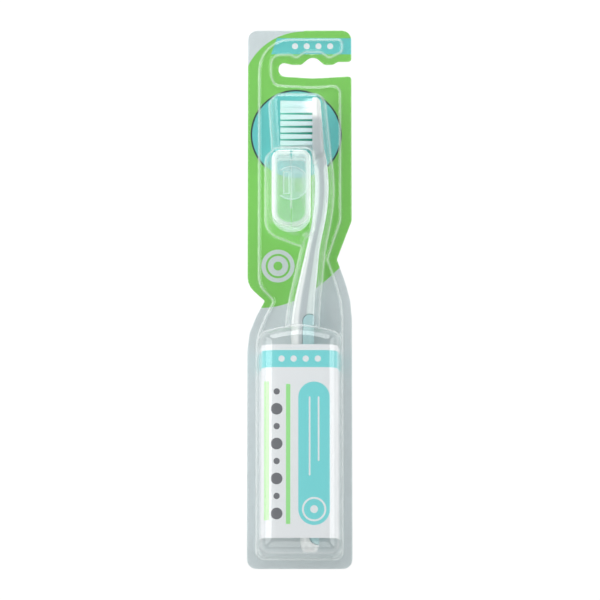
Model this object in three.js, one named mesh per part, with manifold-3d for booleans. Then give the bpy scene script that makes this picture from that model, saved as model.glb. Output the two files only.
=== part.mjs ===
import * as THREE from "three";
import { mergeVertices } from "three/addons/utils/BufferGeometryUtils.js";
import Module from "manifold-3d";

const wasm = await Module();
wasm.setup();

// A toothbrush with a travel cap in a carded blister pack, lying on its back.
// Driving dimensions are in millimetres. X runs across the pack, Y from the card's bottom edge up to the
// hang slot, and Z out of the front of the card.

// Sheet materials, fits and smoothness of curves
const CARD_THICKNESS = 0.5;
const SHEET = 0.4;
const PAPER = 0.25;
const SEAT_GAP = 0.3;
const DRAFT = 0.105;
const ARC_STEP = Math.PI / 12;
const SHOULDER_STEPS = 4;
const HANDLE_RINGS = 36;
const HANDLE_SIDES = 20;

// Blister pack
const FLANGE = 4.2;
const HEAD_FLANGE = 5;
const CARD_CORNER = 4;
const CHAMBER_WIDTH = 35.6;
const CHAMBER_HEIGHT = 20;
const CHAMBER_SHOULDER = { rise: 6, reach: 7 };
const CHAMBER_CORNER = 5;
const CHAMBER_OVERLAP = 1.5;
const CHAMBER_CROWN = 4.6;
const CHAMBER_CROWN_ROUND = 60;
const PLATEAU_HEIGHT = 2.4;
const PLATEAU_CORNER = 3;
const PLATEAU_SHOULDER = { rise: 0.7, reach: 0.7 };
const BUBBLE_SHOULDER = { rise: 2.5, reach: 2.5 };
const BUBBLE_HEADROOM = 1;
const BUBBLE_CORNER = 5;
const BUBBLE_TAPER = 2.2;
const CHANNEL_MARGIN = 2.2;
const CHANNEL_PIECES = 14;
const TIP_ROOM = 3.8;
const POCKET_MARGIN = 2.7;
const POCKET_RUNOUT = { left: 0.3, tip: 6, right: 3, round: 4 };
const POCKET_ROUND_END = 8;
const TAIL_ROOM = 2.4;

// Hang slot, open at the right edge of the card, with an arch for the peg between two low lands
const SLOT_LAND = 9.6;
const SLOT_HEIGHT = 6;
const SLOT_START = -9;
const SLOT_END_ROUND = 3;
const SLOT_SAG = 1;
const SLOT_SAG_ROUND = 50;
const SLOT_LOBE = 1.3;
const SLOT_ROUND = 1.4;
const PEG_ARCH = { x: 5.6, half: 4.9, peak: 4.2, round: 3.6, foot: 2 };
const LOW_LAND = { width: 3.8, flank: 1.9, round: 2 };
const HANGER_BAR = 14.9;
const RIB_LIFT = 4.4;
const RIB_WAVE = { half: 3.4, rise: 1.2, dipHalf: 7, dip: 1.4, end: 9.4, round: 1.6 };
const RIB_CORNER = 13;
const RIB_LOOP = { inset: 0.8, lean: 1.6 };

// Waist between the handle chamber and the head area: depth, rise above the chamber, lengths of its
// flanks, and the radii of its tip and of the corners where it starts
const LEFT_WAIST = { depth: 7.3, rise: 9.5, above: 6.6, below: 13.4, tip: 0.8, upper: 8, lower: 32 };
const RIGHT_WAIST = { depth: 6.3, rise: 27.2, above: 16.6, below: 17.6, tip: 1.5, upper: 3, lower: 45 };

// Paper insert in the handle chamber
const LABEL_LENGTH = 80;
const LABEL_START = 7.8;

// Toothbrush
const HANDLE_LENGTH = 95;
const HANDLE_WIDTH = 13;
const HANDLE_SQUARENESS = 0.82;
const NECK_LENGTH = 70;
const HEAD_LENGTH = 27;
const HEAD_WIDTH = 12;
const HEAD_CORNER = 5;
const HEAD_FACE_X = 5.35;
const HEAD_TOE_THICKNESS = 3.3;
const HEAD_HEEL_THICKNESS = 5.2;
const HEAD_EDGE = 1.1;
const GRIP_TAIL = 3;
const GRIP_OVERRUN = 4;
const GRIP_END_RADIUS = 3;

// Brush profile: [share of that length, centre line x, half thickness, share of the handle's width]
const HANDLE_STATIONS = [
  [0, 4.2, 2.6, 0.45], [0.012, 4.2, 3.5, 0.78], [0.05, 4.1, 4, 0.94],
  [0.35, 2.9, 4.4, 1], [0.7, 1.6, 4.8, 1], [1, 1.2, 4.8, 0.94],
];
const NECK_STATIONS = [
  [0.15, 2.1, 4.3, 0.83], [0.3, 3.8, 3.65, 0.68], [0.46, 5.6, 2.9, 0.53], [0.66, 8.4, 2.85, 0.45],
  [0.82, 9.3, 2.95, 0.44], [1, 8.7, 2.7, 0.52], [1.09, 7.9, 2.1, 0.55],
];

// Bristles and their anchors
const BRISTLE_LENGTH = 13.6;
const TUFT_PITCH = 2.79;
const TUFT_RADIUS = 0.75;
const TUFT_FLARE = 1.3;
const ROW_INSET = 2;
const INNER_ROW_SHARE = 0.35;
const FIRST_COLUMN_INSET = 6.4;
const HEEL_MARGIN = 5.7;
const TOE_TUFTS = 3;
const TOE_SPREAD = 2.4;
const TOE_INSET = 2.9;
const TOE_BOW = 0.5;
const STRAND_RADIUS = 0.17;
const STRAND_RINGS = [[1, 0], [4, 0.5], [7, 1]];
const BACKING_DEPTH = 0.8;
const BACKING_RIM = 0.6;
const ANCHOR = { width: 1.7, height: 0.3, depth: 1 };

// Travel cap
const CAP_WIDTH = 16.5;
const CAP_LENGTH = 32.6;
const CAP_DEPTH = 19.2;
const CAP_WALL = 0.9;
const CAP_EDGE = 2.6;
const CAP_EDGE_STEPS = 3;
const CAP_CLEARANCE = 3.2;
const CAP_NECK_GAP = 0.65;
const CAP_ROUND_END = 7.4;
const CAP_SQUARE_END = 4;
const NECK_HOLE_RADIUS = 3.4;
const HINGE_RADIUS = 0.4;
const CLASP = { radius: 7.4, rise: 5.3, thickness: 0.7, rootStart: 1.5, rootEnd: 4.7, rootLength: 8 };
const CATCH = { width: 3, length: 10, offset: 2.1 };

// Layout, built up from the bottom of the card
const halfCard = CHAMBER_WIDTH / 2 + FLANGE;
const tailY = FLANGE + TAIL_ROOM;
const handleTopY = tailY + HANDLE_LENGTH;
const heelY = handleTopY + NECK_LENGTH;
const toeY = heelY + HEAD_LENGTH;
const chamberTopY = handleTopY + CHAMBER_OVERLAP;
const leftWaistY = chamberTopY + LEFT_WAIST.rise;
const rightWaistY = chamberTopY + RIGHT_WAIST.rise;
const slotBottomY = toeY + SLOT_LAND;
const slotTopY = slotBottomY + SLOT_HEIGHT;
const cardHeight = slotTopY + HANGER_BAR;
const seatZ = CARD_THICKNESS + SEAT_GAP;
const brushHalfWidth = Math.max(HANDLE_WIDTH, HEAD_WIDTH) / 2;
const brushZ = seatZ + brushHalfWidth;
const outerColumns = 1 + Math.floor((HEAD_LENGTH - FIRST_COLUMN_INSET - HEEL_MARGIN) / TUFT_PITCH);
const outerRowZ = HEAD_WIDTH / 2 - ROW_INSET;
const innerRowZ = outerRowZ * INNER_ROW_SHARE;
const firstColumnY = toeY - FIRST_COLUMN_INSET;
const lastColumnY = firstColumnY - (outerColumns - 1) * TUFT_PITCH;
const capTopY = lastColumnY - TUFT_RADIUS * TUFT_FLARE - CAP_CLEARANCE;
const capBottomY = capTopY - CAP_LENGTH;
const capCentreY = (capTopY + capBottomY) / 2;
const claspY = capCentreY + CLASP.rise;
const capBaseZ = seatZ + CLASP.thickness + SEAT_GAP;
const capTopZ = capBaseZ + CAP_DEPTH;

// The three ways an outline can lie in space, each with the way back to flat points
const XY = {
  place: (point, height) => new THREE.Vector3(point.x, point.y, height),
  flatten: (point) => new THREE.Vector2(point.x, point.y),
};
const YZ = {
  place: (point, height) => new THREE.Vector3(height, point.x, point.y),
  flatten: (point) => new THREE.Vector2(point.y, point.z),
};
const ZX = {
  place: (point, height) => new THREE.Vector3(point.y, height, point.x),
  flatten: (point) => new THREE.Vector2(point.z, point.x),
};

// Closed outline inside the given corners [x, y, rounding radius], listed anticlockwise. Every edge is moved
// inwards by the inset, and the point count stays the same for any inset.
function outlineAt(corners, inset = 0) {
  const count = corners.length;
  const points = corners.map(([x, y]) => new THREE.Vector2(x, y));
  const headings = points.map((point, i) => points[(i + 1) % count].clone().sub(point).normalize());
  const before = (list, i) => list[(i + count - 1) % count];
  const moved = points.map((point, i) => {
    const arriving = before(headings, i);
    const leaving = headings[i];
    const inward = new THREE.Vector2(-arriving.y - leaving.y, arriving.x + leaving.x);
    return point.clone().addScaledVector(inward, inset / (1 + arriving.dot(leaving)));
  });
  return moved.flatMap((point, i) => {
    const arriving = before(headings, i);
    const turn = Math.atan2(arriving.cross(headings[i]), arriving.dot(headings[i]));
    const asked = corners[i][2] ?? 0;
    if (asked === 0 || Math.abs(turn) < 0.01) {
      return [point];
    }
    const slope = Math.tan(Math.abs(turn) / 2);
    const nextPoint = moved[(i + 1) % count];
    const room = 0.49 * Math.min(point.distanceTo(before(moved, i)), point.distanceTo(nextPoint));
    const reach = Math.min(Math.max(asked - Math.sign(turn) * inset, SEAT_GAP) * slope, room);
    return arcPoints(point, arriving, turn, reach, reach / slope);
  });
}

// Points of the arc that rounds one corner, from the arriving edge to the leaving one.
function arcPoints(corner, arriving, turn, reach, radius) {
  const start = corner.clone().addScaledVector(arriving, -reach);
  const side = new THREE.Vector2(-arriving.y, arriving.x).multiplyScalar(Math.sign(turn) * radius);
  const centre = start.clone().add(side);
  const steps = Math.max(2, Math.round(Math.abs(turn) / ARC_STEP));
  return Array.from({ length: steps + 1 }, (_, k) => start.clone().rotateAround(centre, (turn * k) / steps));
}

// Closed body through rings of equal point count, capped flat at both ends.
function loft(rings, plane = XY) {
  const size = rings[0].length;
  const index = [];
  for (let level = 0; level + 1 < rings.length; level += 1) {
    for (let j = 0; j < size; j += 1) {
      const low = level * size + j;
      const lowNext = level * size + ((j + 1) % size);
      index.push(low, lowNext, lowNext + size, low, lowNext + size, low + size);
    }
  }
  const top = (rings.length - 1) * size;
  for (const [a, b, c] of THREE.ShapeUtils.triangulateShape(rings[0].map(plane.flatten), [])) {
    index.push(a, c, b);
  }
  for (const [a, b, c] of THREE.ShapeUtils.triangulateShape(rings.at(-1).map(plane.flatten), [])) {
    index.push(top + a, top + b, top + c);
  }
  const geometry = new THREE.BufferGeometry();
  const positions = rings.flat().flatMap((point) => point.toArray());
  geometry.setAttribute("position", new THREE.Float32BufferAttribute(positions, 3));
  geometry.setIndex(index);
  return solidOf(geometry);
}

// Straight prism of an outline between two heights.
function prism(outline, low, high, plane = XY) {
  return loft([low, high].map((height) => outline.map((point) => plane.place(point, height))), plane);
}

function box([x0, x1], [y0, y1], [z0, z1]) {
  return prism(outlineAt([[x0, y0], [x1, y0], [x1, y1], [x0, y1]]), z0, z1);
}

function circle(x, y, radius, sides) {
  return Array.from({ length: sides }, (_, k) => {
    const angle = (2 * Math.PI * k) / sides;
    return new THREE.Vector2(x + radius * Math.cos(angle), y + radius * Math.sin(angle));
  });
}

function solidOf(geometry) {
  const welded = mergeVertices(geometry);
  return new wasm.Manifold(new wasm.Mesh({
    numProp: 3,
    vertProperties: Float32Array.from(welded.attributes.position.array),
    triVerts: Uint32Array.from(welded.index.array),
  }));
}

function unite(solids) {
  return solids.reduce((sum, piece) => sum.add(piece));
}

// Named mesh of a finished solid, with a material of its own.
function part(name, body, colour, settings = {}) {
  const made = body.getMesh();
  const geometry = new THREE.BufferGeometry();
  geometry.setAttribute("position", new THREE.Float32BufferAttribute(made.vertProperties, 3));
  geometry.setIndex(Array.from(made.triVerts));
  geometry.computeVertexNormals();
  const material = new THREE.MeshStandardMaterial({ color: colour, roughness: 0.5, ...settings });
  const mesh = new THREE.Mesh(geometry, material);
  mesh.name = name;
  return mesh;
}

// Top edge of the hang slot, from its closed end to the card's right edge.
function slotTopCorners() {
  const lobeY = slotTopY + SLOT_LOBE;
  const arch = PEG_ARCH;
  const landEnd = arch.half + LOW_LAND.width;
  return [
    [SLOT_START, lobeY, SLOT_END_ROUND], [arch.x - landEnd, slotTopY, LOW_LAND.round],
    [arch.x - arch.half, slotTopY, arch.foot], [arch.x, slotTopY + arch.peak, arch.round],
    [arch.x + arch.half, slotTopY, arch.foot], [arch.x + landEnd, slotTopY, LOW_LAND.round],
    [arch.x + landEnd + LOW_LAND.flank, lobeY, LOW_LAND.round], [halfCard, lobeY, SLOT_ROUND],
  ];
}

// Outline of the card, which the blister's sealed rim shares, anticlockwise from the bottom left corner.
function cardCorners() {
  const left = LEFT_WAIST;
  const right = RIGHT_WAIST;
  return [
    [-halfCard, 0, CARD_CORNER], [halfCard, 0, CARD_CORNER],
    [halfCard, rightWaistY - right.below, right.lower], [halfCard - right.depth, rightWaistY, right.tip],
    [halfCard, rightWaistY + right.above, right.upper],
    [halfCard, slotBottomY + SLOT_SAG, SLOT_ROUND], [PEG_ARCH.x, slotBottomY, SLOT_SAG_ROUND],
    [SLOT_START, slotBottomY + SLOT_SAG, SLOT_END_ROUND], ...slotTopCorners(),
    [halfCard, cardHeight, CARD_CORNER], [-halfCard, cardHeight, CARD_CORNER],
    [-halfCard, leftWaistY + left.above, left.upper], [left.depth - halfCard, leftWaistY, left.tip],
    [-halfCard, leftWaistY - left.below, left.lower],
  ];
}

// Outline of the raised area inside the sealed rim, with a rib that loops around the hang slot.
function plateauCorners() {
  const side = halfCard - FLANGE;
  const headSide = halfCard - HEAD_FLANGE;
  const left = LEFT_WAIST;
  const right = RIGHT_WAIST;
  const wave = RIB_WAVE;
  const shelfY = slotBottomY - FLANGE;
  const ribLowY = slotTopY + RIB_LIFT;
  const ribTopY = cardHeight - FLANGE;
  const loopX = SLOT_START - FLANGE + RIB_LOOP.inset;
  return [
    [-side, FLANGE, PLATEAU_CORNER], [side, FLANGE, PLATEAU_CORNER],
    [side, rightWaistY - right.below, right.lower - FLANGE],
    [side - right.depth, rightWaistY, right.tip + FLANGE / 2],
    [headSide, rightWaistY + right.above, FLANGE],
    [headSide, shelfY + SLOT_SAG, SLOT_END_ROUND], [PEG_ARCH.x, shelfY, SLOT_SAG_ROUND],
    [loopX + RIB_LOOP.lean, shelfY + SLOT_SAG, FLANGE], [loopX, slotBottomY + SLOT_SAG, FLANGE],
    [loopX, ribLowY, FLANGE], [PEG_ARCH.x - wave.end, ribLowY, wave.round],
    [PEG_ARCH.x - wave.dipHalf, ribLowY - wave.dip, wave.round],
    [PEG_ARCH.x - wave.half, ribLowY + wave.rise, wave.round],
    [PEG_ARCH.x + wave.half, ribLowY + wave.rise, wave.round],
    [PEG_ARCH.x + wave.dipHalf, ribLowY - wave.dip, wave.round], [side, ribLowY + wave.rise, wave.round],
    [side, ribTopY, wave.round], [-headSide, ribTopY, RIB_CORNER],
    [-headSide, leftWaistY + left.above, left.upper],
    [left.depth - side, leftWaistY, left.tip + SLOT_ROUND], [-side, leftWaistY - left.below, left.lower],
  ];
}

function chamberCorners() {
  const side = halfCard - FLANGE;
  const shoulderY = chamberTopY - CHAMBER_CROWN;
  return [
    [-side, FLANGE, CHAMBER_CORNER], [side, FLANGE, CHAMBER_CORNER], [side, shoulderY, CHAMBER_CORNER],
    [0, chamberTopY, CHAMBER_CROWN_ROUND], [-side, shoulderY, CHAMBER_CORNER],
  ];
}

// The head bubble widens a little towards the toe on the bristle side and narrows on the back.
function headBubbleCorners() {
  const left = HEAD_FACE_X - BRISTLE_LENGTH - TIP_ROOM;
  const right = HEAD_FACE_X + HEAD_HEEL_THICKNESS + CHANNEL_MARGIN;
  const low = heelY - BUBBLE_CORNER;
  const high = toeY + CHANNEL_MARGIN;
  return [
    [left + BUBBLE_TAPER / 2, low, BUBBLE_CORNER], [right + BUBBLE_TAPER / 2, low, BUBBLE_CORNER],
    [right - BUBBLE_TAPER, high, BUBBLE_CORNER], [left - BUBBLE_TAPER / 2, high, BUBBLE_CORNER],
  ];
}

// The cap's pocket runs out below the cap in a slanted foot whose tip lies beside the neck.
function pocketCorners() {
  const left = capCentreX - CAP_WIDTH / 2 - POCKET_MARGIN;
  const right = capCentreX + CAP_WIDTH / 2 + POCKET_MARGIN;
  const high = capTopY + POCKET_MARGIN;
  const runout = POCKET_RUNOUT;
  return [
    [left, capBottomY - runout.left, POCKET_ROUND_END],
    [capCentreX + CAP_WIDTH / 4, capBottomY - runout.tip, runout.round],
    [right, capBottomY - runout.right, BUBBLE_CORNER],
    [right, high, BUBBLE_CORNER], [left, high, BUBBLE_CORNER],
  ];
}

// Samples of the brush profile: centre line, half thickness and half width, from the tail into the head.
function brushProfile(samples) {
  const stations = [
    ...HANDLE_STATIONS.map(([share, ...rest]) => [tailY + share * HANDLE_LENGTH, ...rest]),
    ...NECK_STATIONS.map(([share, ...rest]) => [handleTopY + share * NECK_LENGTH, ...rest]),
  ];
  const line = new THREE.CatmullRomCurve3(stations.map(([y, x]) => new THREE.Vector3(x, y, 0)));
  const size = new THREE.CatmullRomCurve3(
    stations.map(([y, , half, share]) => new THREE.Vector3(half, y, (share * HANDLE_WIDTH) / 2)));
  return Array.from({ length: samples + 1 }, (_, k) => {
    const spot = line.getPoint(k / samples);
    const spread = size.getPoint(k / samples);
    return { x: spot.x, y: spot.y, half: spread.x, halfWidth: spread.z };
  });
}

// Centre line and half thickness of the brush at one height, between two samples of its profile.
const profile = brushProfile(4 * HANDLE_RINGS);
function brushAt(y) {
  const next = Math.max(1, profile.findIndex((sample) => sample.y >= y));
  const low = profile[next - 1];
  const high = profile[next];
  const share = (y - low.y) / (high.y - low.y);
  return { x: low.x + share * (high.x - low.x), y, half: low.half + share * (high.half - low.half) };
}

function brushStretch(low, high, pieces) {
  return Array.from({ length: pieces + 1 }, (_, k) => brushAt(low + ((high - low) * k) / pieces));
}

// The cap lies beside the neck, as close as its clearance lets it.
const neckBesideCap = brushStretch(capBottomY + CAP_ROUND_END, capTopY, CHANNEL_PIECES);
const neckSideX = Math.min(HEAD_FACE_X, ...neckBesideCap.map(({ x, half }) => x - half));
const capCentreX = neckSideX - CAP_NECK_GAP - CAP_WIDTH / 2;

// Foot of the neck channel: both edges of the neck, moved out by the channel's margin. Its ends lie inside
// the handle chamber and the head bubble.
function channelCorners() {
  const low = chamberTopY - CHAMBER_CROWN - CHAMBER_SHOULDER.reach - BUBBLE_SHOULDER.reach;
  const neck = brushStretch(low, heelY + BUBBLE_CORNER, CHANNEL_PIECES);
  const rightEdge = neck.map(({ x, y, half }) => [x + half + CHANNEL_MARGIN, y]);
  const leftEdge = neck.map(({ x, y, half }) => [x - half - CHANNEL_MARGIN, y]);
  return [...rightEdge, ...leftEdge.reverse()];
}

// Levels [inset, z] of a formed wall: it leans in by the draft, then rounds over a shoulder to the flat top.
// The skin is 0 for the outer face and the sheet's thickness for the inner one.
function wallLevels(height, shoulder, skin) {
  const springZ = CARD_THICKNESS + height - shoulder.rise;
  const lean = DRAFT * (height - shoulder.rise);
  return Array.from({ length: SHOULDER_STEPS + 1 }, (_, k) => {
    const angle = (k / SHOULDER_STEPS) * Math.PI / 2;
    const inset = lean + shoulder.reach - (shoulder.reach - skin) * Math.cos(angle);
    return [inset, springZ + (shoulder.rise - skin) * Math.sin(angle)];
  });
}

// One formed bubble, from the card up, or from just below the card's face for the inner cut.
function bubble(corners, height, shoulder, skin) {
  const foot = skin === 0 ? CARD_THICKNESS : CARD_THICKNESS - SHEET;
  const levels = [[skin, foot], ...wallLevels(height, shoulder, skin)];
  return loft(levels.map(([inset, z]) => outlineAt(corners, inset).map((point) => XY.place(point, z))));
}

function blisterSolid() {
  const channelHeight = SEAT_GAP + 2 * brushHalfWidth + BUBBLE_HEADROOM + SHEET;
  const pocketHeight = capTopZ - CARD_THICKNESS + BUBBLE_HEADROOM + SHEET;
  const forms = [
    [plateauCorners(), PLATEAU_HEIGHT, PLATEAU_SHOULDER],
    [chamberCorners(), CHAMBER_HEIGHT, CHAMBER_SHOULDER],
    [channelCorners(), channelHeight, BUBBLE_SHOULDER],
    [headBubbleCorners(), channelHeight, BUBBLE_SHOULDER],
    [pocketCorners(), pocketHeight, BUBBLE_SHOULDER],
  ];
  const rim = prism(outlineAt(cardCorners()), CARD_THICKNESS, CARD_THICKNESS + SHEET);
  const outside = unite(forms.map(([corners, height, shoulder]) => bubble(corners, height, shoulder, 0)));
  const inside = unite(forms.map(([corners, height, shoulder]) => bubble(corners, height, shoulder, SHEET)));
  return rim.add(outside).subtract(inside);
}

// The insert follows the chamber's section, one gap inside the sheet, and stands on the card.
function labelSolid() {
  const half = halfCard - FLANGE;
  const rightSide = (skin) => [
    [skin + DRAFT * SEAT_GAP, seatZ], ...wallLevels(CHAMBER_HEIGHT, CHAMBER_SHOULDER, skin)]
    .map(([inset, z]) => new THREE.Vector2(z, half - inset));
  const mirrored = (side) => side.map(({ x, y }) => new THREE.Vector2(x, -y));
  const outer = rightSide(SHEET + SEAT_GAP);
  const inner = rightSide(SHEET + SEAT_GAP + PAPER);
  const outline = [...inner, ...mirrored(inner).reverse(), ...mirrored(outer), ...outer.reverse()];
  return prism(outline, FLANGE + LABEL_START, FLANGE + LABEL_START + LABEL_LENGTH, ZX);
}

function headOutline(inset) {
  const low = brushZ - HEAD_WIDTH / 2;
  const high = brushZ + HEAD_WIDTH / 2;
  return outlineAt([
    [heelY, low, HEAD_CORNER], [toeY, low, HEAD_CORNER],
    [toeY, high, HEAD_CORNER], [heelY, high, HEAD_CORNER],
  ], inset);
}

// Head plate with a flat bristle face and a back that thins towards the toe.
function headSolid() {
  const backX = (y) => {
    const share = (y - heelY) / HEAD_LENGTH;
    return HEAD_FACE_X + HEAD_HEEL_THICKNESS + (HEAD_TOE_THICKNESS - HEAD_HEEL_THICKNESS) * share;
  };
  const face = headOutline(0).map((point) => YZ.place(point, HEAD_FACE_X));
  const shoulder = headOutline(0).map((point) => YZ.place(point, backX(point.x) - HEAD_EDGE));
  const back = headOutline(HEAD_EDGE).map((point) => YZ.place(point, backX(point.x)));
  return loft([face, shoulder, back], YZ);
}

// Handle and neck: rounded sections along the profile.
function handleSolid() {
  const swell = (value) => Math.sign(value) * Math.abs(value) ** HANDLE_SQUARENESS;
  const rings = brushProfile(HANDLE_RINGS).map(({ x, y, half, halfWidth }) =>
    circle(0, 0, 1, HANDLE_SIDES).map((point) =>
      new THREE.Vector3(x + half * swell(point.y), y, brushZ + halfWidth * swell(point.x))));
  return loft(rings, ZX);
}

// Block behind the handle's centre line, from the tail to just above the handle, that the grip fills.
function gripBlock(inset) {
  const stretch = brushStretch(tailY + GRIP_TAIL, handleTopY + GRIP_OVERRUN, CHANNEL_PIECES);
  const line = stretch.map(({ x, y }) => [x, y, 0]);
  line[0][2] = GRIP_END_RADIUS;
  line.at(-1)[2] = GRIP_END_RADIUS;
  const corners = [[halfCard, line[0][1]], [halfCard, line.at(-1)[1]], ...line.reverse()];
  return prism(outlineAt(corners, inset), brushZ - HANDLE_WIDTH, brushZ + HANDLE_WIDTH);
}

// Places of the tufts on the head, row by row from the toe to the heel.
function tuftPlaces() {
  const row = (name, count, startY, z) => Array.from({ length: count }, (_, k) =>
    ({ row: name, y: startY - k * TUFT_PITCH, z: brushZ + z }));
  const innerY = firstColumnY - TUFT_PITCH / 2;
  const toe = Array.from({ length: TOE_TUFTS }, (_, k) => {
    const step = k - (TOE_TUFTS - 1) / 2;
    return { row: "toe", y: toeY - TOE_INSET - TOE_BOW * Math.abs(step), z: brushZ + step * TOE_SPREAD };
  });
  return [
    ...row("front", outerColumns, firstColumnY, outerRowZ),
    ...row("rear", outerColumns, firstColumnY, -outerRowZ),
    ...row("inner", outerColumns - 1, innerY, innerRowZ),
    ...row("inner", outerColumns - 1, innerY, -innerRowZ),
    ...toe,
  ];
}

// One tuft of three-sided strands that spread a little towards the tips.
function strandsOf({ y, z }) {
  const tipX = HEAD_FACE_X - BRISTLE_LENGTH;
  const rootX = HEAD_FACE_X + BACKING_DEPTH / 2;
  return STRAND_RINGS.flatMap(([count, share]) => Array.from({ length: count }, (_, k) => {
    const angle = (2 * Math.PI * k) / count + share;
    const across = share * TUFT_RADIUS * Math.cos(angle);
    const along = share * TUFT_RADIUS * Math.sin(angle);
    const ring = (flare, x) => circle(y + across * flare, z + along * flare, STRAND_RADIUS, 3)
      .map((point) => YZ.place(point, x));
    return loft([ring(TUFT_FLARE, tipX), ring(1, rootX)], YZ);
  }));
}

// Slice of the head face that holds one row of tufts.
function backingSlice(row) {
  const slice = prism(headOutline(BACKING_RIM + SEAT_GAP), HEAD_FACE_X, HEAD_FACE_X + BACKING_DEPTH, YZ);
  const rowEdge = (outerRowZ + innerRowZ) / 2;
  const toeEdge = (firstColumnY + toeY - TOE_INSET) / 2 + SEAT_GAP / 2;
  const half = SEAT_GAP / 2;
  const mainY = [heelY, toeEdge - half];
  const spans = {
    front: [mainY, [rowEdge + half, HEAD_WIDTH]],
    rear: [mainY, [-HEAD_WIDTH, -rowEdge - half]],
    inner: [mainY, [half - rowEdge, rowEdge - half]],
    toe: [[toeEdge + half, toeY], [-HEAD_WIDTH, HEAD_WIDTH]],
  };
  const [spanY, spanZ] = spans[row];
  const spanX = [HEAD_FACE_X - BACKING_DEPTH, HEAD_FACE_X + HEAD_HEEL_THICKNESS];
  return slice.intersect(box(spanX, spanY, spanZ.map((z) => brushZ + z)));
}

// Anchor plate under one tuft, or with a gap the slot that holds it.
function anchorBox({ y, z }, gap = 0) {
  const top = HEAD_FACE_X + BACKING_DEPTH + SEAT_GAP;
  const halfHeight = ANCHOR.height / 2 + gap;
  const halfWidth = ANCHOR.width / 2 + gap;
  return box(
    [top - 2 * gap, top + ANCHOR.depth + gap],
    [y - halfHeight, y + halfHeight], [z - halfWidth, z + halfWidth]);
}

function toothbrush() {
  const brush = new THREE.Group();
  brush.name = "toothbrush";
  const tufts = tuftPlaces();
  const recessFloor = HEAD_FACE_X + BACKING_DEPTH + SEAT_GAP / 2;
  const recess = prism(headOutline(BACKING_RIM), HEAD_FACE_X - BACKING_DEPTH, recessFloor, YZ);
  const slots = unite(tufts.map((tuft) => anchorBox(tuft, SEAT_GAP / 2)));
  const handle = handleSolid();
  const core = handle.add(headSolid()).subtract(gripBlock(0)).subtract(recess).subtract(slots);
  brush.add(part("brush_body", core, "#d5dde0", { roughness: 0.15 }));
  brush.add(part("brush_back_grip", handle.intersect(gripBlock(SEAT_GAP)), "#7fbcc0", { roughness: 0.7 }));
  const rows = {
    front: ["tufts_front_row", "#f4f6f6"], rear: ["tufts_rear_row", "#f4f6f6"],
    inner: ["tufts_inner_rows", "#1c9c86"], toe: ["tufts_toe", "#f4f6f6"],
  };
  for (const [row, [name, colour]] of Object.entries(rows)) {
    const places = tufts.filter((tuft) => tuft.row === row);
    brush.add(part(name, unite([backingSlice(row), ...places.flatMap(strandsOf)]), colour));
    places.forEach((place, k) => {
      const brass = { metalness: 1, roughness: 0.4 };
      brush.add(part(`anchor_${row}_${k + 1}`, anchorBox(place), "#b9a46a", brass));
    });
  }
  return brush;
}

// Box of the cap with rounded edges, moved inwards by the skin.
function capForm(skin) {
  const left = capCentreX - CAP_WIDTH / 2;
  const right = capCentreX + CAP_WIDTH / 2;
  const corners = [
    [left, capBottomY, CAP_ROUND_END], [right, capBottomY, CAP_ROUND_END],
    [right, capTopY, CAP_SQUARE_END], [left, capTopY, CAP_SQUARE_END],
  ];
  const round = CAP_EDGE - skin;
  const quarter = Array.from({ length: CAP_EDGE_STEPS + 1 }, (_, k) => (k / CAP_EDGE_STEPS) * Math.PI / 2);
  const levels = [
    ...quarter.map((angle) =>
      [CAP_EDGE - round * Math.sin(angle), capBaseZ + CAP_EDGE - round * Math.cos(angle)]),
    ...quarter.map((angle) =>
      [CAP_EDGE - round * Math.cos(angle), capTopZ - CAP_EDGE + round * Math.sin(angle)]),
  ];
  return loft(levels.map(([inset, z]) => outlineAt(corners, inset).map((point) => XY.place(point, z))));
}

// Round clasp tab on the right half, open on the left for the catch of the left half.
function claspTab(catchSpanX, catchSpanY) {
  const disc = prism(
    circle(capCentreX, claspY, CLASP.radius, 32), seatZ, seatZ + CLASP.thickness);
  const room = box(
    [capCentreX - CAP_WIDTH, catchSpanX[1] + SEAT_GAP],
    [catchSpanY[0] - SEAT_GAP, catchSpanY[1] + SEAT_GAP], [0, capBaseZ]);
  const root = box(
    [capCentreX + CLASP.rootStart, capCentreX + CLASP.rootEnd],
    [claspY - CLASP.rootLength / 2, claspY + CLASP.rootLength / 2], [seatZ, capBaseZ + CAP_WALL / 2]);
  return disc.subtract(room).add(root);
}

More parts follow.
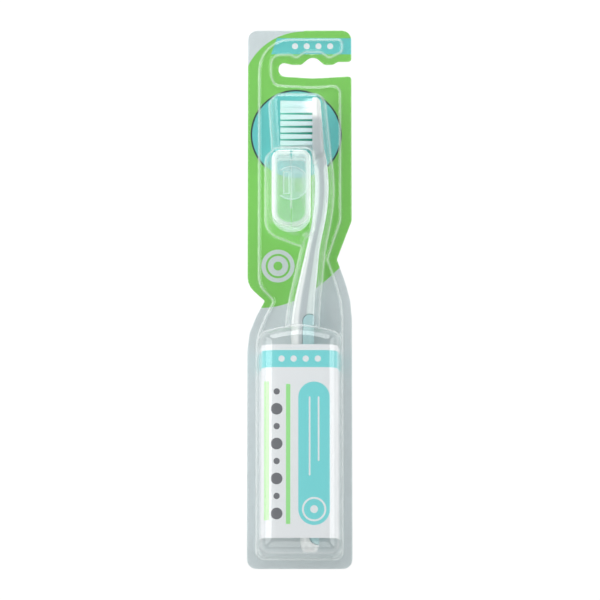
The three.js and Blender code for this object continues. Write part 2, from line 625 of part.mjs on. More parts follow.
function travelCap() {
  const cap = new THREE.Group();
  cap.name = "travel_cap";
  const hingeZ = capTopZ - HINGE_RADIUS;
  const hingeRod = (radius, low, high) => prism(circle(hingeZ, capCentreX, radius, 16), low, high, ZX);
  const neckHole = prism(
    circle((capBaseZ + capTopZ) / 2, capCentreX, NECK_HOLE_RADIUS, 24), capCentreY, capTopY + CAP_WALL, ZX);
  const shell = capForm(0).subtract(capForm(CAP_WALL)).subtract(neckHole)
    .subtract(hingeRod(HINGE_RADIUS + SEAT_GAP, capBottomY - CAP_WALL, capTopY + CAP_WALL));
  const spanY = [capBottomY - CAP_WALL, capTopY + CAP_WALL];
  const half = (low, high) => shell.intersect(
    box([capCentreX + low, capCentreX + high], spanY, [0, capTopZ + CAP_WALL]));
  const catchX = capCentreX - CATCH.offset;
  const catchSpanX = [catchX - CATCH.width / 2, catchX + CATCH.width / 2];
  const catchSpanY = [claspY - CATCH.length / 2, claspY + CATCH.length / 2];
  const catchBar = box(catchSpanX, catchSpanY, [seatZ, capBaseZ + CAP_WALL / 2]);
  const leftShell = half(-CAP_WIDTH, -SEAT_GAP / 2).add(catchBar);
  const rightShell = half(SEAT_GAP / 2, CAP_WIDTH).add(claspTab(catchSpanX, catchSpanY));
  cap.add(part("cap_left_shell", leftShell, "#e6f0ec"));
  cap.add(part("cap_right_shell", rightShell, "#e6f0ec"));
  const web = hingeRod(HINGE_RADIUS, capBottomY + CAP_ROUND_END, capTopY - CAP_SQUARE_END);
  cap.add(part("cap_hinge_web", web, "#eef4f1"));
  return cap;
}

const pack = new THREE.Group();
pack.name = "blister_pack";
pack.position.y = -cardHeight / 2;
const card = prism(outlineAt(cardCorners()), 0, CARD_THICKNESS);
pack.add(part("backing_card", card, "#72c95a", { roughness: 0.4 }));
const clear = { roughness: 0.1, transparent: true, opacity: 0.3 };
pack.add(part("blister_shell", blisterSolid(), "#eef3f4", clear));
pack.add(part("label_insert", labelSolid(), "#f2f2f5", { roughness: 0.6 }));
pack.add(toothbrush());
pack.add(travelCap());

const root = new THREE.Group();
root.name = "carded_toothbrush";
root.add(pack);
export default root;
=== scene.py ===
import math
import random

import bmesh
import bpy
from mathutils import Matrix, Vector
from mathutils.kdtree import KDTree


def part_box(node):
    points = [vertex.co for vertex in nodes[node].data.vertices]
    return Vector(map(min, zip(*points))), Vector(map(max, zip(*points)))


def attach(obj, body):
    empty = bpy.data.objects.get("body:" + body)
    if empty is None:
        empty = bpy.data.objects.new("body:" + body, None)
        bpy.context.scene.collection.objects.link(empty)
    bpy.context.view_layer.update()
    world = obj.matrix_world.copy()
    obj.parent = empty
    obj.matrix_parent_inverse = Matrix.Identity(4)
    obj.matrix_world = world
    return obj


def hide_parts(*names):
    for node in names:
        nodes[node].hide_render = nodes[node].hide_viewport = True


# A toothbrush with a travel cap in a carded blister pack. The pack lies on its back: X runs across it,
# Y up to the hang slot and Z out of the card's front. Sizes are in millimetres, places on the pack are
# measured from the middle of the card's bottom edge, and MM turns both to metres.
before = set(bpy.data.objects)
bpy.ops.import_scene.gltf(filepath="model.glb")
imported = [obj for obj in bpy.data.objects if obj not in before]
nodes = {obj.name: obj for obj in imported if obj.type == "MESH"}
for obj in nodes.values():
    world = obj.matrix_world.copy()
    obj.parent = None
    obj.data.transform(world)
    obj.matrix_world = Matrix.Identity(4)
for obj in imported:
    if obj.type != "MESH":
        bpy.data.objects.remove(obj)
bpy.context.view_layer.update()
MM = 0.001
card_low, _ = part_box("backing_card")

# Camera, as the photograph was taken
CAMERA_DISTANCE = 1200
CAMERA_TILT = math.radians(7.5)
CAMERA_LENS = 170.6
CAMERA_AIM = Vector((0.13, -1.45, 0))
CAMERA_REACH = 20000

# Studio: the lamps' places and sizes are in metres and their powers in watts
LAMPS = {
    "left_softbox": {"place": (-0.36, 0.06, 0.26), "size": (0.5, 0.4), "power": 1.55},
    "right_softbox": {"place": (0.9, 0, 0.35), "size": (0.9, 0.7), "power": 4.7},
    "far_softbox": {"place": (0.05, 0.8, 0.4), "size": (0.7, 0.6), "power": 4.8},
    "near_softbox": {"place": (0, -0.6, 0.5), "size": (0.6, 0.5), "power": 1.4},
    "glint_lamp": {"place": (0.0085, 0.198, 0.6), "size": (0.008, 0.011), "power": 0.0035},
}
ROOM_FILL = 0.26
FLOOR = {"size": 8000, "drop": 0.2, "white": 0.85, "glow": 1.06}
CLEAR_LAYERS = 32

# Modelling: how near vertices merge, how square on a face has to be to be picked, and how a mould rounds
WELD = 0.002
SQUARE_ON = 0.9
DEAD_LEVEL = 0.99
MOULD_ROUNDING = 0.5

# Formed sheet
SHEET = 0.35
SHEET_VOXEL = 0.45
SHEET_SOFTENING = 3
SHEET_FLATNESS = math.radians(1.5)
SHEET_SKIRT = 3
SHEET_TRIM = 0.2
SHARP_FOLD = math.radians(40)
FOLD_STEP = 0.25
FOLD_REACH = 1.2
FOLD_SOFTNESS = 1.5
# White painted along the sheet's folds as highlight lines
FOLD_PAINTED_HIGHLIGHT = 0.62
SHEET_HAZE = 0.01
STEEP_HAZE = 0.1
DEEP_DRAW = {"top": 104, "low": 6, "high": 12, "softening": 24}
LEAST_RISE = 0.01

# Paper insert that saddles the handle under the sheet
PAPER = {"low": 12, "high": 92, "top": 19.8, "thick": 0.25, "flat_half": 9.33}
PAPER_SHOULDER = {"reach": 6.3, "drop": 5.3, "steps": 14}
PAPER_FOOT = {"half": 17.07, "height": 0.8}
PAPER_PASS = 0.6

# Brush: stations are height, centre line x, half thickness and half width
BRUSH_STATIONS = [
    (6.6, 4.2, 2.6, 2.93), (7.74, 4.2, 3.5, 5.07), (11.35, 4.1, 4, 6.11),
    (39.85, 2.9, 4.4, 6.5), (73.1, 1.6, 4.8, 6.5), (101.6, 1.2, 4.8, 6.11),
    (112.1, 2.1, 4.3, 5.4), (122.6, 3.8, 3.65, 4.42), (133.8, 5.6, 2.9, 3.45), (147.8, 8.4, 2.85, 2.93),
    (159, 9.3, 2.95, 2.86), (171.6, 8.7, 2.7, 3.38), (177.9, 7.9, 2.1, 3.58),
]
BRUSH_Z = 7.3
BRUSH_TAIL_RINGS = 12
BRUSH_RINGS = 80
BRUSH_SIDES = 40
BRUSH_SQUARENESS = 0.82
BRUSH_VOXEL = 0.34
BRUSH_SOFTENING = 5
HEAD = {"face": 5.35, "heel": 171.6, "toe": 198.6, "width": 12, "heel_thick": 5.2, "toe_thick": 3.3}
HEAD_CORNER = 5
HEAD_CORNER_STEPS = 10
HEAD_BACK_EDGE = 2.4
HEAD_BACK_STEPS = 5
# Heights over which the toe and the tail fade into the bristle side's painted highlight
TOE_PAINTED_HIGHLIGHT = {"low": 186, "high": 195}
TAIL_PAINTED_HIGHLIGHT = {"low": 11, "high": 18}
GRIP = {"low": 9.6, "high": 105.6, "reach": 12, "half_width": 10, "gap": 0.12, "steps": 32}
GRIP_END = {"round": 3, "steps": 8}
GRIP_VOXEL = 0.32
GRIP_SOFTENING = 3

# Bristles
TUFT_PITCH = 2.79
TUFT_COLUMNS = 6
TUFT_FIRST = 192.2
TUFT_OUTER = 4
TUFT_INNER = 1.4
TUFT_ROOT = 0.8
TUFT_TIP = 1.03
TOE_TUFTS = [(195.2, -2.4), (195.7, 0), (195.2, 2.4)]
TOE_FULLNESS = 1.45
INNER_FULLNESS = 1.45
BRISTLE = {"length": 13.6, "rooted": 0.6, "radius": 0.12, "sides": 5, "tip": 0.16, "tip_share": 0.5}
BRISTLES_PER_TUFT = 52
BRISTLE_UNEVEN = 0.3
BRISTLE_SPLAY = 0.08
BRISTLE_SEED = 7
GOLDEN_ANGLE = math.radians(137.508)

# Travel cap
CAP = {"left": -11.8, "right": 4.7, "low": 141.475, "high": 174.075, "base": 1.8, "top": 21}
CAP_MIDDLE = (CAP["left"] + CAP["right"]) / 2
CAP_WAIST = (CAP["low"] + CAP["high"]) / 2
CAP_WALL = 0.9
CAP_ROUND_END = {"radius": 7.4, "steps": 12}
CAP_SQUARE_END = {"radius": 4, "steps": 8}
CAP_EDGE = {"radius": 2.6, "steps": 6}
CAP_GAP = 0.3
CAP_SEAM = 0.12
CAP_NECK_HOLE = {"radius": 3.4, "length": 6 * CAP_WALL, "sides": 48}
HINGE = {"groove": 0.67, "height": 20.6, "sides": 24}
CLASP = {"radius": 7.4, "rise": 5.3, "low": 0.8, "high": 1.5, "root_start": 1.5, "root_end": 4.7,
         "root_length": 8, "sides": 72}
CLASP_MIDDLE = CAP_WAIST + CLASP["rise"]
CATCH = {"width": 3, "length": 10, "offset": -2.1}
CLASP_EDGE = {"width": 0.62, "steps": 2}

# Places of the cap's finishes in its list, after the walls' own
EDGE_FINISH = 1
HINGE_FINISH = 2
FLAT_FINISH = 3

# Print: places and sizes on the card and on the paper
CORNER_SILVER = {"low": (-30, 202.3), "high": (1.8, 240)}
CORNER_SWEEP = {"centre": (1.8, 202.3), "radius": 26.4}
HANGER_BAND = {"low": (-12.2, 218.8), "high": (30, 225.8)}
HANGER_BAND_SLANT = 0.36
HANGER_PIPS = {"first": (-2, 222.3), "step": 5, "count": 4, "radius": 1.3}
HEAD_DISC = {"centre": (-1.48, 183.95), "radius": 18.7, "outline": 0.7}
OUTLINE_SPAN = {"low": (-30, 170), "high": (30, 210)}
ROUNDEL = {"centre": (-9.17, 127.5), "radius": 7, "ring_out": 5.2, "ring_in": 4.3, "dot": 1.9}
GREEN_FOOT = {"height": 109.7, "x": -16, "rise": 0.0159}
PAPER_BAND = {"low": (-30, 82.5), "high": (30, 89.6)}
BAND_PIPS = {"first": (-7.5, 86.05), "step": 5, "count": 4, "radius": 1.3}
PALE_STRIPE = {"low": (-14.7, 19.3), "high": (-12.6, 76.7)}
GREEN_STRIPE = {"low": (-5.66, 17.7), "high": (-3.86, 75.5)}
DOT_COLUMN = {"x": -9.5, "first": 22, "step": 7.2, "count": 8, "large": 2.4, "small": 1.3}
PILL = {"x": 5.93, "low": 23.8, "high": 70, "radius": 6.5}
PILL_RULES = {"x": (4.1, 7.8), "low": (38, 44), "high": 70, "radius": 0.35}
PILL_RING = {"out": 5, "in": 4.2, "dot": 1.6}

# Print colours
GREEN = "#7cce58"
SILVER = "#ced9db"
TEAL = "#60cbc9"
DARK_TEAL = "#123638"
BRIGHT_TEAL = "#78dbdd"
PAPER_WHITE = "#e9edef"
STRIPE_GREEN = "#9ee993"
STRIPE_PALE = "#c2f4b4"
MOTIF_GREY = "#6c6f74"
BOARD_CORE = "#e9e8e2"
BOARD_BACK = "#d9d6cc"
BARE_PAPER = ("#ecece8", "#f6f6f3")

# Board: its gloss, the mottle of its inks, and how square on to a side a face has to be to belong to it
BOARD_ROUGHNESS = {"bare": 0.85, "varnished": 0.38}
INK_MOTTLE = 0.05
BOARD_FACE = 0.5

# Colours of the plastics, the rubber and the metal, how milky or open to light they are, and painted light
# and shade
SHEET_MILK = "#fafdfc"
SHEET_CLEAR = "#fefefe"
SHEET_GLOSS = {"square_on": 0.04, "edge_on": 0.5, "power": 5}
SHEET_BACKLIT = 0.5
# Handle: painted grey shade mid-stem, a white painted highlight on the bristle side, a teal one on the grip
# side
HANDLE_SHADE_GREY = "#c8d1d4"
HANDLE_PAINTED_HIGHLIGHT = {"colour": "#f3f8f7", "from": -0.2, "to": -0.5}
HANDLE_PAINTED_GRIP_SIDE_HIGHLIGHT = {"colour": "#e6f4f1", "from": 0.25, "to": 0.4}
HANDLE_PASS = {"share": 0.6, "tint": "#c9d6d9"}
RUBBER_TEAL = ("#a4cdd0", "#b2d8da")
# Root to tip: the teal is darker at the root, painted shade between tufts; the white takes painted teal light
# at its tip
WHITE_NYLON = {"root": "#e5eef0", "tip": "#e3f2f0"}
TEAL_NYLON = {"root": "#0fc0a6", "tip": "#7adccf"}
NYLON_PASS = 0.965
NYLON_BACKLIT = 0.5
CAP_MILK = "#f6fcf9"
CAP_CLEAR = "#f8fcfd"
CAP_PASS = 0.88
CAP_BACKLIT = 0.2
CAP_TURN = {"least": 0.012, "power": 0.4}
CAP_UPRIGHT = {"level": 0.4, "share": 0.3}
BRASS = "#c8a557"

# Polypropylene of the cap's walls, clasp edges, hinge groove and clasp flats, and of the hinge web: the milky
# share of a face that is seen square on, and what turning it away adds
CAP_VEILS = {
    "natural_polypropylene": (0.04, 0.9),
    # Near white on the clasp's chamfered edges: a painted highlight
    "clasp_edge_highlight_polypropylene": (0.9, 0),
    "flexed_polypropylene": (0.02, 0.06),
    "doubled_polypropylene": (0.3, 0),
}
WEB_VEIL = (0.24, 0.06)


def at(x, y, z):
    """The point in the frame of a place on the pack."""
    return Vector((x * MM, card_low.y + y * MM, z * MM))


# Shop tools

def clear_bench():
    """Leaves edit mode and selects nothing."""
    if bpy.context.object and bpy.context.object.mode != "OBJECT":
        bpy.ops.object.mode_set(mode="OBJECT")
    bpy.ops.object.select_all(action="DESELECT")


def take(obj):
    """Makes a piece the only selected one."""
    clear_bench()
    obj.select_set(True)
    bpy.context.view_layer.objects.active = obj


def edit(obj):
    """Opens a piece in edit mode with all of it selected."""
    take(obj)
    bpy.ops.object.mode_set(mode="EDIT")
    bpy.ops.mesh.select_all(action="SELECT")


def pick(obj, kind, test):
    """In edit mode, selects the edges or faces that pass a test, and nothing else."""
    bpy.ops.mesh.select_mode(type=kind)
    bpy.ops.mesh.select_all(action="DESELECT")
    form = bmesh.from_edit_mesh(obj.data)
    form.normal_update()
    for item in {"EDGE": form.edges, "FACE": form.faces}[kind]:
        if test(item):
            item.select_set(True)
    bmesh.update_edit_mesh(obj.data)


def all_at(edge, axis, place):
    """Whether both ends of an edge are at one place along an axis, in metres."""
    return all(abs(vertex.co[axis] - place) < WELD * MM for vertex in edge.verts)


def finish_with(obj, kind, **settings):
    """Adds a modifier and applies it."""
    take(obj)
    modifier = obj.modifiers.new(kind.lower(), kind)
    for name, value in settings.items():
        setattr(modifier, name, value)
    bpy.ops.object.modifier_apply(modifier=modifier.name)


def settle(obj):
    """Puts a piece's place and size into its mesh."""
    take(obj)
    bpy.ops.object.transform_apply(location=True, rotation=True, scale=True)
    return obj


def block(low, high):
    """A box between two points of the frame."""
    clear_bench()
    bpy.ops.mesh.primitive_cube_add(size=1, location=(low + high) / 2, scale=high - low)
    return settle(bpy.context.object)


def rod(centre, radius, length, sides, turn=(0, 0, 0)):
    """A round bar, upright unless it is turned."""
    clear_bench()
    bpy.ops.mesh.primitive_cylinder_add(
        vertices=sides, radius=radius * MM, depth=length * MM, location=centre, rotation=turn)
    return settle(bpy.context.object)


def carve(obj, tool, operation):
    """Joins a tool to a piece, cuts it out of it or keeps what both share, and throws the tool away."""
    finish_with(obj, "BOOLEAN", object=tool, operation=operation, solver="EXACT")
    bpy.data.objects.remove(tool)


def join(pieces):
    """One piece of several."""
    clear_bench()
    for piece in pieces:
        piece.select_set(True)
    bpy.context.view_layer.objects.active = pieces[0]
    bpy.ops.object.join()
    return pieces[0]


def twin(obj):
    """A copy of a piece with its own mesh."""
    copy = bpy.data.objects.new(obj.name + "_twin", obj.data.copy())
    bpy.context.scene.collection.objects.link(copy)
    return copy


def soften(obj, voxel, passes):
    """Turns a closed form to one skin of even small faces and rounds its edges, as a mould does."""
    edit(obj)
    bpy.ops.mesh.normals_make_consistent(inside=False)
    finish_with(obj, "REMESH", mode="VOXEL", voxel_size=voxel * MM)
    finish_with(obj, "SMOOTH", factor=MOULD_ROUNDING, iterations=passes)


def coat(obj, *finishes):
    """Gives a piece its finishes in place of those that it has."""
    obj.data.materials.clear()
    for finish in finishes:
        obj.data.materials.append(finish)


def keep(obj, name, body, stands_for, crease=40):
    """Gives a finished piece its name, its body and the nodes that it stands for."""
    take(obj)
    obj.name = name
    obj.data.name = name
    bpy.ops.object.shade_smooth_by_angle(angle=math.radians(crease))
    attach(obj, body)
    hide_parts(*stands_for)


# Materials

def linear(code):
    """Linear colour of an sRGB hex value."""
    shares = [int(code[i:i + 2], 16) / 255 for i in (1, 3, 5)]
    return tuple(c / 12.92 if c <= 0.04045 else ((c + 0.055) / 1.055) ** 2.4 for c in shares) + (1,)


def add(tree, kind, links=None, **settings):
    """Adds a node with its settings. Links maps a socket to a value or to the socket that feeds it."""
    node = tree.nodes.new("ShaderNode" + kind)
    for name, value in settings.items():
        setattr(node, name, value)
    for socket, source in (links or {}).items():
        if isinstance(source, bpy.types.NodeSocket):
            tree.links.new(source, node.inputs[socket])
        else:
            node.inputs[socket].default_value = source
    return node


def start(name):
    """A new material and its empty node tree."""
    made = bpy.data.materials.new(name)
    made.use_nodes = True
    made.node_tree.nodes.clear()
    return made, made.node_tree


def pass_light(tree, surface, share, tint="#ffffff"):
    """A surface that lets a share of the lamps' light through to what lies behind it."""
    clear = add(tree, "BsdfTransparent", {"Color": linear(tint)}).outputs[0]
    shadow = add(tree, "LightPath").outputs["Is Shadow Ray"]
    part = add(tree, "Math", {0: shadow, 1: share}, operation="MULTIPLY").outputs[0]
    return add(tree, "MixShader", {0: part, 1: surface, 2: clear}).outputs[0]


def per_metre(size):
    """Noise scale for a feature of a size in millimetres."""
    return 1 / (size * MM)


def print_place(point):
    """A place on the print as a point with no height."""
    return at(*point, 0)


def in_circle(tree, spot, centre, radius):
    """Mask of a disc on the print."""
    away = add(tree, "VectorMath", {0: spot, 1: centre}, operation="DISTANCE").outputs["Value"]
    return add(tree, "Math", {0: away, 1: radius * MM}, operation="LESS_THAN").outputs[0]


def in_bar(tree, spot, bar, slant=0):
    """Mask of a bar, whose ends lean over by a slant for each unit of its height."""
    low, high = print_place(bar["low"]), print_place(bar["high"])
    middle, half = (low + high) / 2, (high - low) / 2
    split = add(tree, "SeparateXYZ", {0: spot})
    lean = {0: split.outputs["Y"], 1: -slant, 2: slant * low.y}
    shift = add(tree, "Math", lean, operation="MULTIPLY_ADD").outputs[0]
    upright = add(tree, "Math", {0: split.outputs["X"], 1: shift}, operation="ADD").outputs[0]
    across = add(tree, "Math", {0: upright, 1: middle.x, 2: half.x}, operation="COMPARE")
    along = add(tree, "Math", {0: split.outputs["Y"], 1: middle.y, 2: half.y}, operation="COMPARE")
    return add(tree, "Math", {0: across.outputs[0], 1: along.outputs[0]}, operation="MULTIPLY").outputs[0]


def in_pill(tree, spot, x, low, high, radius):
    """Mask of an upright bar with round ends, whose end centres are at two heights on one line."""
    foot, top = at(x, low, 0), at(x, high, 0)
    split = add(tree, "SeparateXYZ", {0: spot})
    along = add(tree, "Clamp", {"Value": split.outputs["Y"], "Min": foot.y, "Max": top.y})
    nearest = add(tree, "CombineXYZ", {"X": foot.x, "Y": along.outputs[0]})
    return in_circle(tree, spot, nearest.outputs[0], radius)


def pip_row(tree, spot, pips, ink):
    """Inks for a row of round pips across a band."""
    x, y = pips["first"]
    centres = [(x + k * pips["step"], y) for k in range(pips["count"])]
    return [(ink, in_circle(tree, spot, print_place(centre), pips["radius"])) for centre in centres]


def lay_inks(tree, ground, inks):
    """Colour of a ground with inks laid over it in order, each a hex colour and a mask."""
    colour = linear(ground)
    for ink, mask in inks:
        colour = add(tree, "Mix", {0: mask, 6: colour, 7: linear(ink)}, data_type="RGBA").outputs[2]
    return colour


# Bleached board, offset printed and varnished: flat inks with a satin gloss and a slight mottle, a bare
# pale core along the cut edges, and a plain uncoated back with its fibres showing.
def printed_bleached_board():
    made, tree = start("printed_bleached_board")
    coordinates = add(tree, "TexCoord")
    place = coordinates.outputs["Object"]
    spot = add(tree, "VectorMath", {0: place, 1: (1, 1, 0)}, operation="MULTIPLY").outputs[0]
    split = add(tree, "SeparateXYZ", {0: spot})
    foot = print_place((GREEN_FOOT["x"], GREEN_FOOT["height"]))
    away = add(tree, "Math", {0: split.outputs["X"], 1: foot.x}, operation="SUBTRACT").outputs[0]
    square = add(tree, "Math", {0: away, 1: away}, operation="MULTIPLY").outputs[0]
    bowl = {0: square, 1: GREEN_FOOT["rise"] / MM, 2: foot.y}
    edge = add(tree, "Math", bowl, operation="MULTIPLY_ADD").outputs[0]
    below_green = add(tree, "Math", {0: split.outputs["Y"], 1: edge}, operation="LESS_THAN").outputs[0]
    disc = print_place(HEAD_DISC["centre"])
    rim = in_circle(tree, spot, disc, HEAD_DISC["radius"] + HEAD_DISC["outline"])
    inked = in_bar(tree, spot, OUTLINE_SPAN)
    roundel = print_place(ROUNDEL["centre"])
    sweep = print_place(CORNER_SWEEP["centre"])
    inks = [
        (SILVER, below_green),
        (SILVER, in_bar(tree, spot, CORNER_SILVER)),
        (GREEN, in_circle(tree, spot, sweep, CORNER_SWEEP["radius"])),
        (TEAL, in_bar(tree, spot, HANGER_BAND, HANGER_BAND_SLANT)),
    ]
    inks += pip_row(tree, spot, HANGER_PIPS, PAPER_WHITE)
    inks += [
        (DARK_TEAL, add(tree, "Math", {0: rim, 1: inked}, operation="MULTIPLY").outputs[0]),
        (TEAL, in_circle(tree, spot, disc, HEAD_DISC["radius"])),
    ]
    for ink, size in ((SILVER, "radius"), (GREEN, "ring_out"), (SILVER, "ring_in"), (GREEN, "dot")):
        inks.append((ink, in_circle(tree, spot, roundel, ROUNDEL[size])))
    face = add(tree, "SeparateXYZ", {0: coordinates.outputs["Normal"]}).outputs["Z"]
    front = add(tree, "Math", {0: face, 1: BOARD_FACE}, operation="GREATER_THAN").outputs[0]
    behind = add(tree, "Math", {0: face, 1: -BOARD_FACE}, operation="LESS_THAN").outputs[0]
    ink = {0: front, 6: linear(BOARD_CORE), 7: lay_inks(tree, GREEN, inks)}
    sides = add(tree, "Mix", ink, data_type="RGBA").outputs[2]
    whole = add(tree, "Mix", {0: behind, 6: sides, 7: linear(BOARD_BACK)}, data_type="RGBA").outputs[2]
    mottle = add(tree, "TexNoise", {"Vector": place, "Scale": per_metre(1.2), "Detail": 3})
    spread = {"Value": mottle.outputs[0], "To Min": 1 - INK_MOTTLE, "To Max": 1 + INK_MOTTLE}
    level = add(tree, "MapRange", spread).outputs[0]
    colour = add(tree, "HueSaturation", {"Value": level, "Color": whole}).outputs[0]
    fibre = add(tree, "TexNoise", {"Vector": place, "Scale": per_metre(0.35), "Detail": 4})
    bump = add(tree, "Bump", {"Strength": 0.12, "Distance": 0.03 * MM, "Height": fibre.outputs[0]})
    varnish = {"Value": front, "To Min": BOARD_ROUGHNESS["bare"], "To Max": BOARD_ROUGHNESS["varnished"]}
    gloss = add(tree, "MapRange", varnish).outputs[0]
    board = add(tree, "BsdfPrincipled", {"Base Color": colour, "Roughness": gloss, "Normal": bump.outputs[0]})
    add(tree, "OutputMaterial", {"Surface": board.outputs[0]})
    return made


# Art paper, offset printed: flat bright inks on a smooth white sheet with a low gloss.
def printed_art_paper():
    made, tree = start("printed_art_paper")
    place = add(tree, "TexCoord").outputs["Object"]
    spot = add(tree, "VectorMath", {0: place, 1: (1, 1, 0)}, operation="MULTIPLY").outputs[0]
    ring = at(PILL["x"], PILL["low"], 0)
    inks = [(BRIGHT_TEAL, in_bar(tree, spot, PAPER_BAND))]
    inks += pip_row(tree, spot, BAND_PIPS, PAPER_WHITE)
    inks += [
        (STRIPE_PALE, in_bar(tree, spot, PALE_STRIPE)),
        (STRIPE_GREEN, in_bar(tree, spot, GREEN_STRIPE)),
        (BRIGHT_TEAL, in_pill(tree, spot, PILL["x"], PILL["low"], PILL["high"], PILL["radius"])),
        (PAPER_WHITE, in_circle(tree, spot, ring, PILL_RING["out"])),
        (BRIGHT_TEAL, in_circle(tree, spot, ring, PILL_RING["in"])),
        (PAPER_WHITE, in_circle(tree, spot, ring, PILL_RING["dot"])),
    ]
    for x, low in zip(PILL_RULES["x"], PILL_RULES["low"]):
        rule = in_pill(tree, spot, x, low, PILL_RULES["high"], PILL_RULES["radius"])
        inks.append((PAPER_WHITE, rule))
    for k in range(DOT_COLUMN["count"]):
        centre = at(DOT_COLUMN["x"], DOT_COLUMN["first"] + k * DOT_COLUMN["step"], 0)
        radius = DOT_COLUMN["small"] if k % 2 else DOT_COLUMN["large"]
        inks.append((MOTIF_GREY, in_circle(tree, spot, centre, radius)))
    colour = lay_inks(tree, PAPER_WHITE, inks)
    fibre = add(tree, "TexNoise", {"Vector": place, "Scale": per_metre(0.5), "Detail": 3})
    bump = add(tree, "Bump", {"Strength": 0.1, "Distance": 0.02 * MM, "Height": fibre.outputs[0]})
    gloss = add(tree, "MapRange", {"Value": fibre.outputs[0], "To Min": 0.4, "To Max": 0.5}).outputs[0]
    paper = add(tree, "BsdfPrincipled", {"Base Color": colour, "Roughness": gloss, "Normal": bump.outputs[0]})
    add(tree, "OutputMaterial", {"Surface": pass_light(tree, paper.outputs[0], PAPER_PASS)})
    return made


# The unprinted side of the art paper: matt white with a faint cloud of fibres.
def bare_paper():
    made, tree = start("bare_paper")
    place = add(tree, "TexCoord").outputs["Object"]
    cloud = add(tree, "TexNoise", {"Vector": place, "Scale": per_metre(1.5), "Detail": 4})
    tint = {0: cloud.outputs[0], 6: linear(BARE_PAPER[0]), 7: linear(BARE_PAPER[1])}
    colour = add(tree, "Mix", tint, data_type="RGBA").outputs[2]
    bump = add(tree, "Bump", {"Strength": 0.15, "Distance": 0.02 * MM, "Height": cloud.outputs[0]})
    paper = add(tree, "BsdfPrincipled", {"Base Color": colour, "Roughness": 0.8, "Normal": bump.outputs[0]})
    add(tree, "OutputMaterial", {"Surface": pass_light(tree, paper.outputs[0], PAPER_PASS)})
    return made


# Clear PET sheet, vacuum formed: hardly there to look straight through, bright where it stands edge-on, with
# white painted along its folds as highlight lines, and a gloss that wavers over the shallow ripples that
# forming leaves.
def formed_clear_pet():
    made, tree = start("formed_clear_pet")
    place = add(tree, "TexCoord").outputs["Object"]
    ripple = add(tree, "TexNoise", {"Vector": place, "Scale": per_metre(12), "Detail": 1})
    bump = add(tree, "Bump", {"Strength": 0.1, "Distance": 0.3 * MM, "Height": ripple.outputs[0]}).outputs[0]
    edge_on = add(tree, "LayerWeight", {"Blend": 0.5}).outputs["Facing"]
    steep = add(tree, "Math", {0: edge_on, 1: SHEET_GLOSS["power"]}, operation="POWER").outputs[0]
    rise = {0: steep, 1: SHEET_GLOSS["edge_on"], 2: SHEET_GLOSS["square_on"]}
    share = add(tree, "Math", rise, operation="MULTIPLY_ADD").outputs[0]
    clear = add(tree, "BsdfTransparent", {"Color": linear(SHEET_CLEAR)})
    shine = add(tree, "BsdfAnisotropic", {"Color": linear("#ffffff"), "Roughness": 0.06, "Normal": bump})
    film = add(tree, "MixShader", {0: share, 1: clear.outputs[0], 2: shine.outputs[0]})
    # Painted highlight: white laid along the folds, over the faint haze
    fold = add(tree, "Attribute", attribute_name="fold").outputs["Fac"]
    haze = {0: steep, 1: STEEP_HAZE, 2: SHEET_HAZE}
    along = add(tree, "Math", haze, operation="MULTIPLY_ADD").outputs[0]
    glow = add(tree, "Math", {0: fold, 1: FOLD_PAINTED_HIGHLIGHT, 2: along}, operation="MULTIPLY_ADD").outputs[0]
    bright = add(tree, "BsdfTranslucent", {"Color": linear(SHEET_MILK)})
    milky = add(tree, "BsdfDiffuse", {"Color": linear(SHEET_MILK)})
    edge = add(tree, "MixShader", {0: SHEET_BACKLIT, 1: bright.outputs[0], 2: milky.outputs[0]})
    sheet = add(tree, "MixShader", {0: glow, 1: film.outputs[0], 2: edge.outputs[0]})
    add(tree, "OutputMaterial", {"Surface": sheet.outputs[0]})
    return made


# Clear copolyester, injection moulded thick, with a polished skin. Painted grey shade across its middle, a
# white painted highlight along the bristle side, at the toe and at the tail, and a pale teal one along the
# grip side.
def clear_copolyester():
    made, tree = start("clear_copolyester")
    place = add(tree, "TexCoord").outputs["Object"]
    flow = add(tree, "TexNoise", {"Vector": place, "Scale": per_metre(14), "Detail": 2})
    across = add(tree, "Attribute", attribute_name="across").outputs["Fac"]
    colour = linear(HANDLE_SHADE_GREY)
    # Painted light and shade: the grey base, the white highlight on the bristle side and the teal one on the
    # grip side
    for band in (HANDLE_PAINTED_HIGHLIGHT, HANDLE_PAINTED_GRIP_SIDE_HIGHLIGHT):
        edge = {"Value": across, "From Min": band["from"], "From Max": band["to"]}
        share = add(tree, "MapRange", edge, interpolation_type="SMOOTHSTEP").outputs[0]
        tone = {0: share, 6: colour, 7: linear(band["colour"])}
        colour = add(tree, "Mix", tone, data_type="RGBA").outputs[2]
    bump = add(tree, "Bump", {"Strength": 0.08, "Distance": 0.3 * MM, "Height": flow.outputs[0]}).outputs[0]
    skin = {"Base Color": colour, "Roughness": 0.14, "IOR": 1.56, "Transmission Weight": 0.2, "Normal": bump}
    solid = add(tree, "BsdfPrincipled", skin)
    lit = pass_light(tree, solid.outputs[0], HANDLE_PASS["share"], HANDLE_PASS["tint"])
    add(tree, "OutputMaterial", {"Surface": lit})
    return made


# Thermoplastic rubber, moulded over the handle: soft teal with a fine spark-eroded texture that kills the
# gloss.
def soft_touch_rubber():
    made, tree = start("soft_touch_rubber")
    place = add(tree, "TexCoord").outputs["Object"]
    grain = add(tree, "TexNoise", {"Vector": place, "Scale": per_metre(0.5), "Detail": 2})
    tint = {0: grain.outputs[0], 6: linear(RUBBER_TEAL[0]), 7: linear(RUBBER_TEAL[1])}
    colour = add(tree, "Mix", tint, data_type="RGBA").outputs[2]
    bump = add(tree, "Bump", {"Strength": 0.25, "Distance": 0.05 * MM, "Height": grain.outputs[0]}).outputs[0]
    skin = {"Base Color": colour, "Roughness": 0.52, "IOR": 1.49, "Normal": bump}
    add(tree, "OutputMaterial", {"Surface": add(tree, "BsdfPrincipled", skin).outputs[0]})
    return made
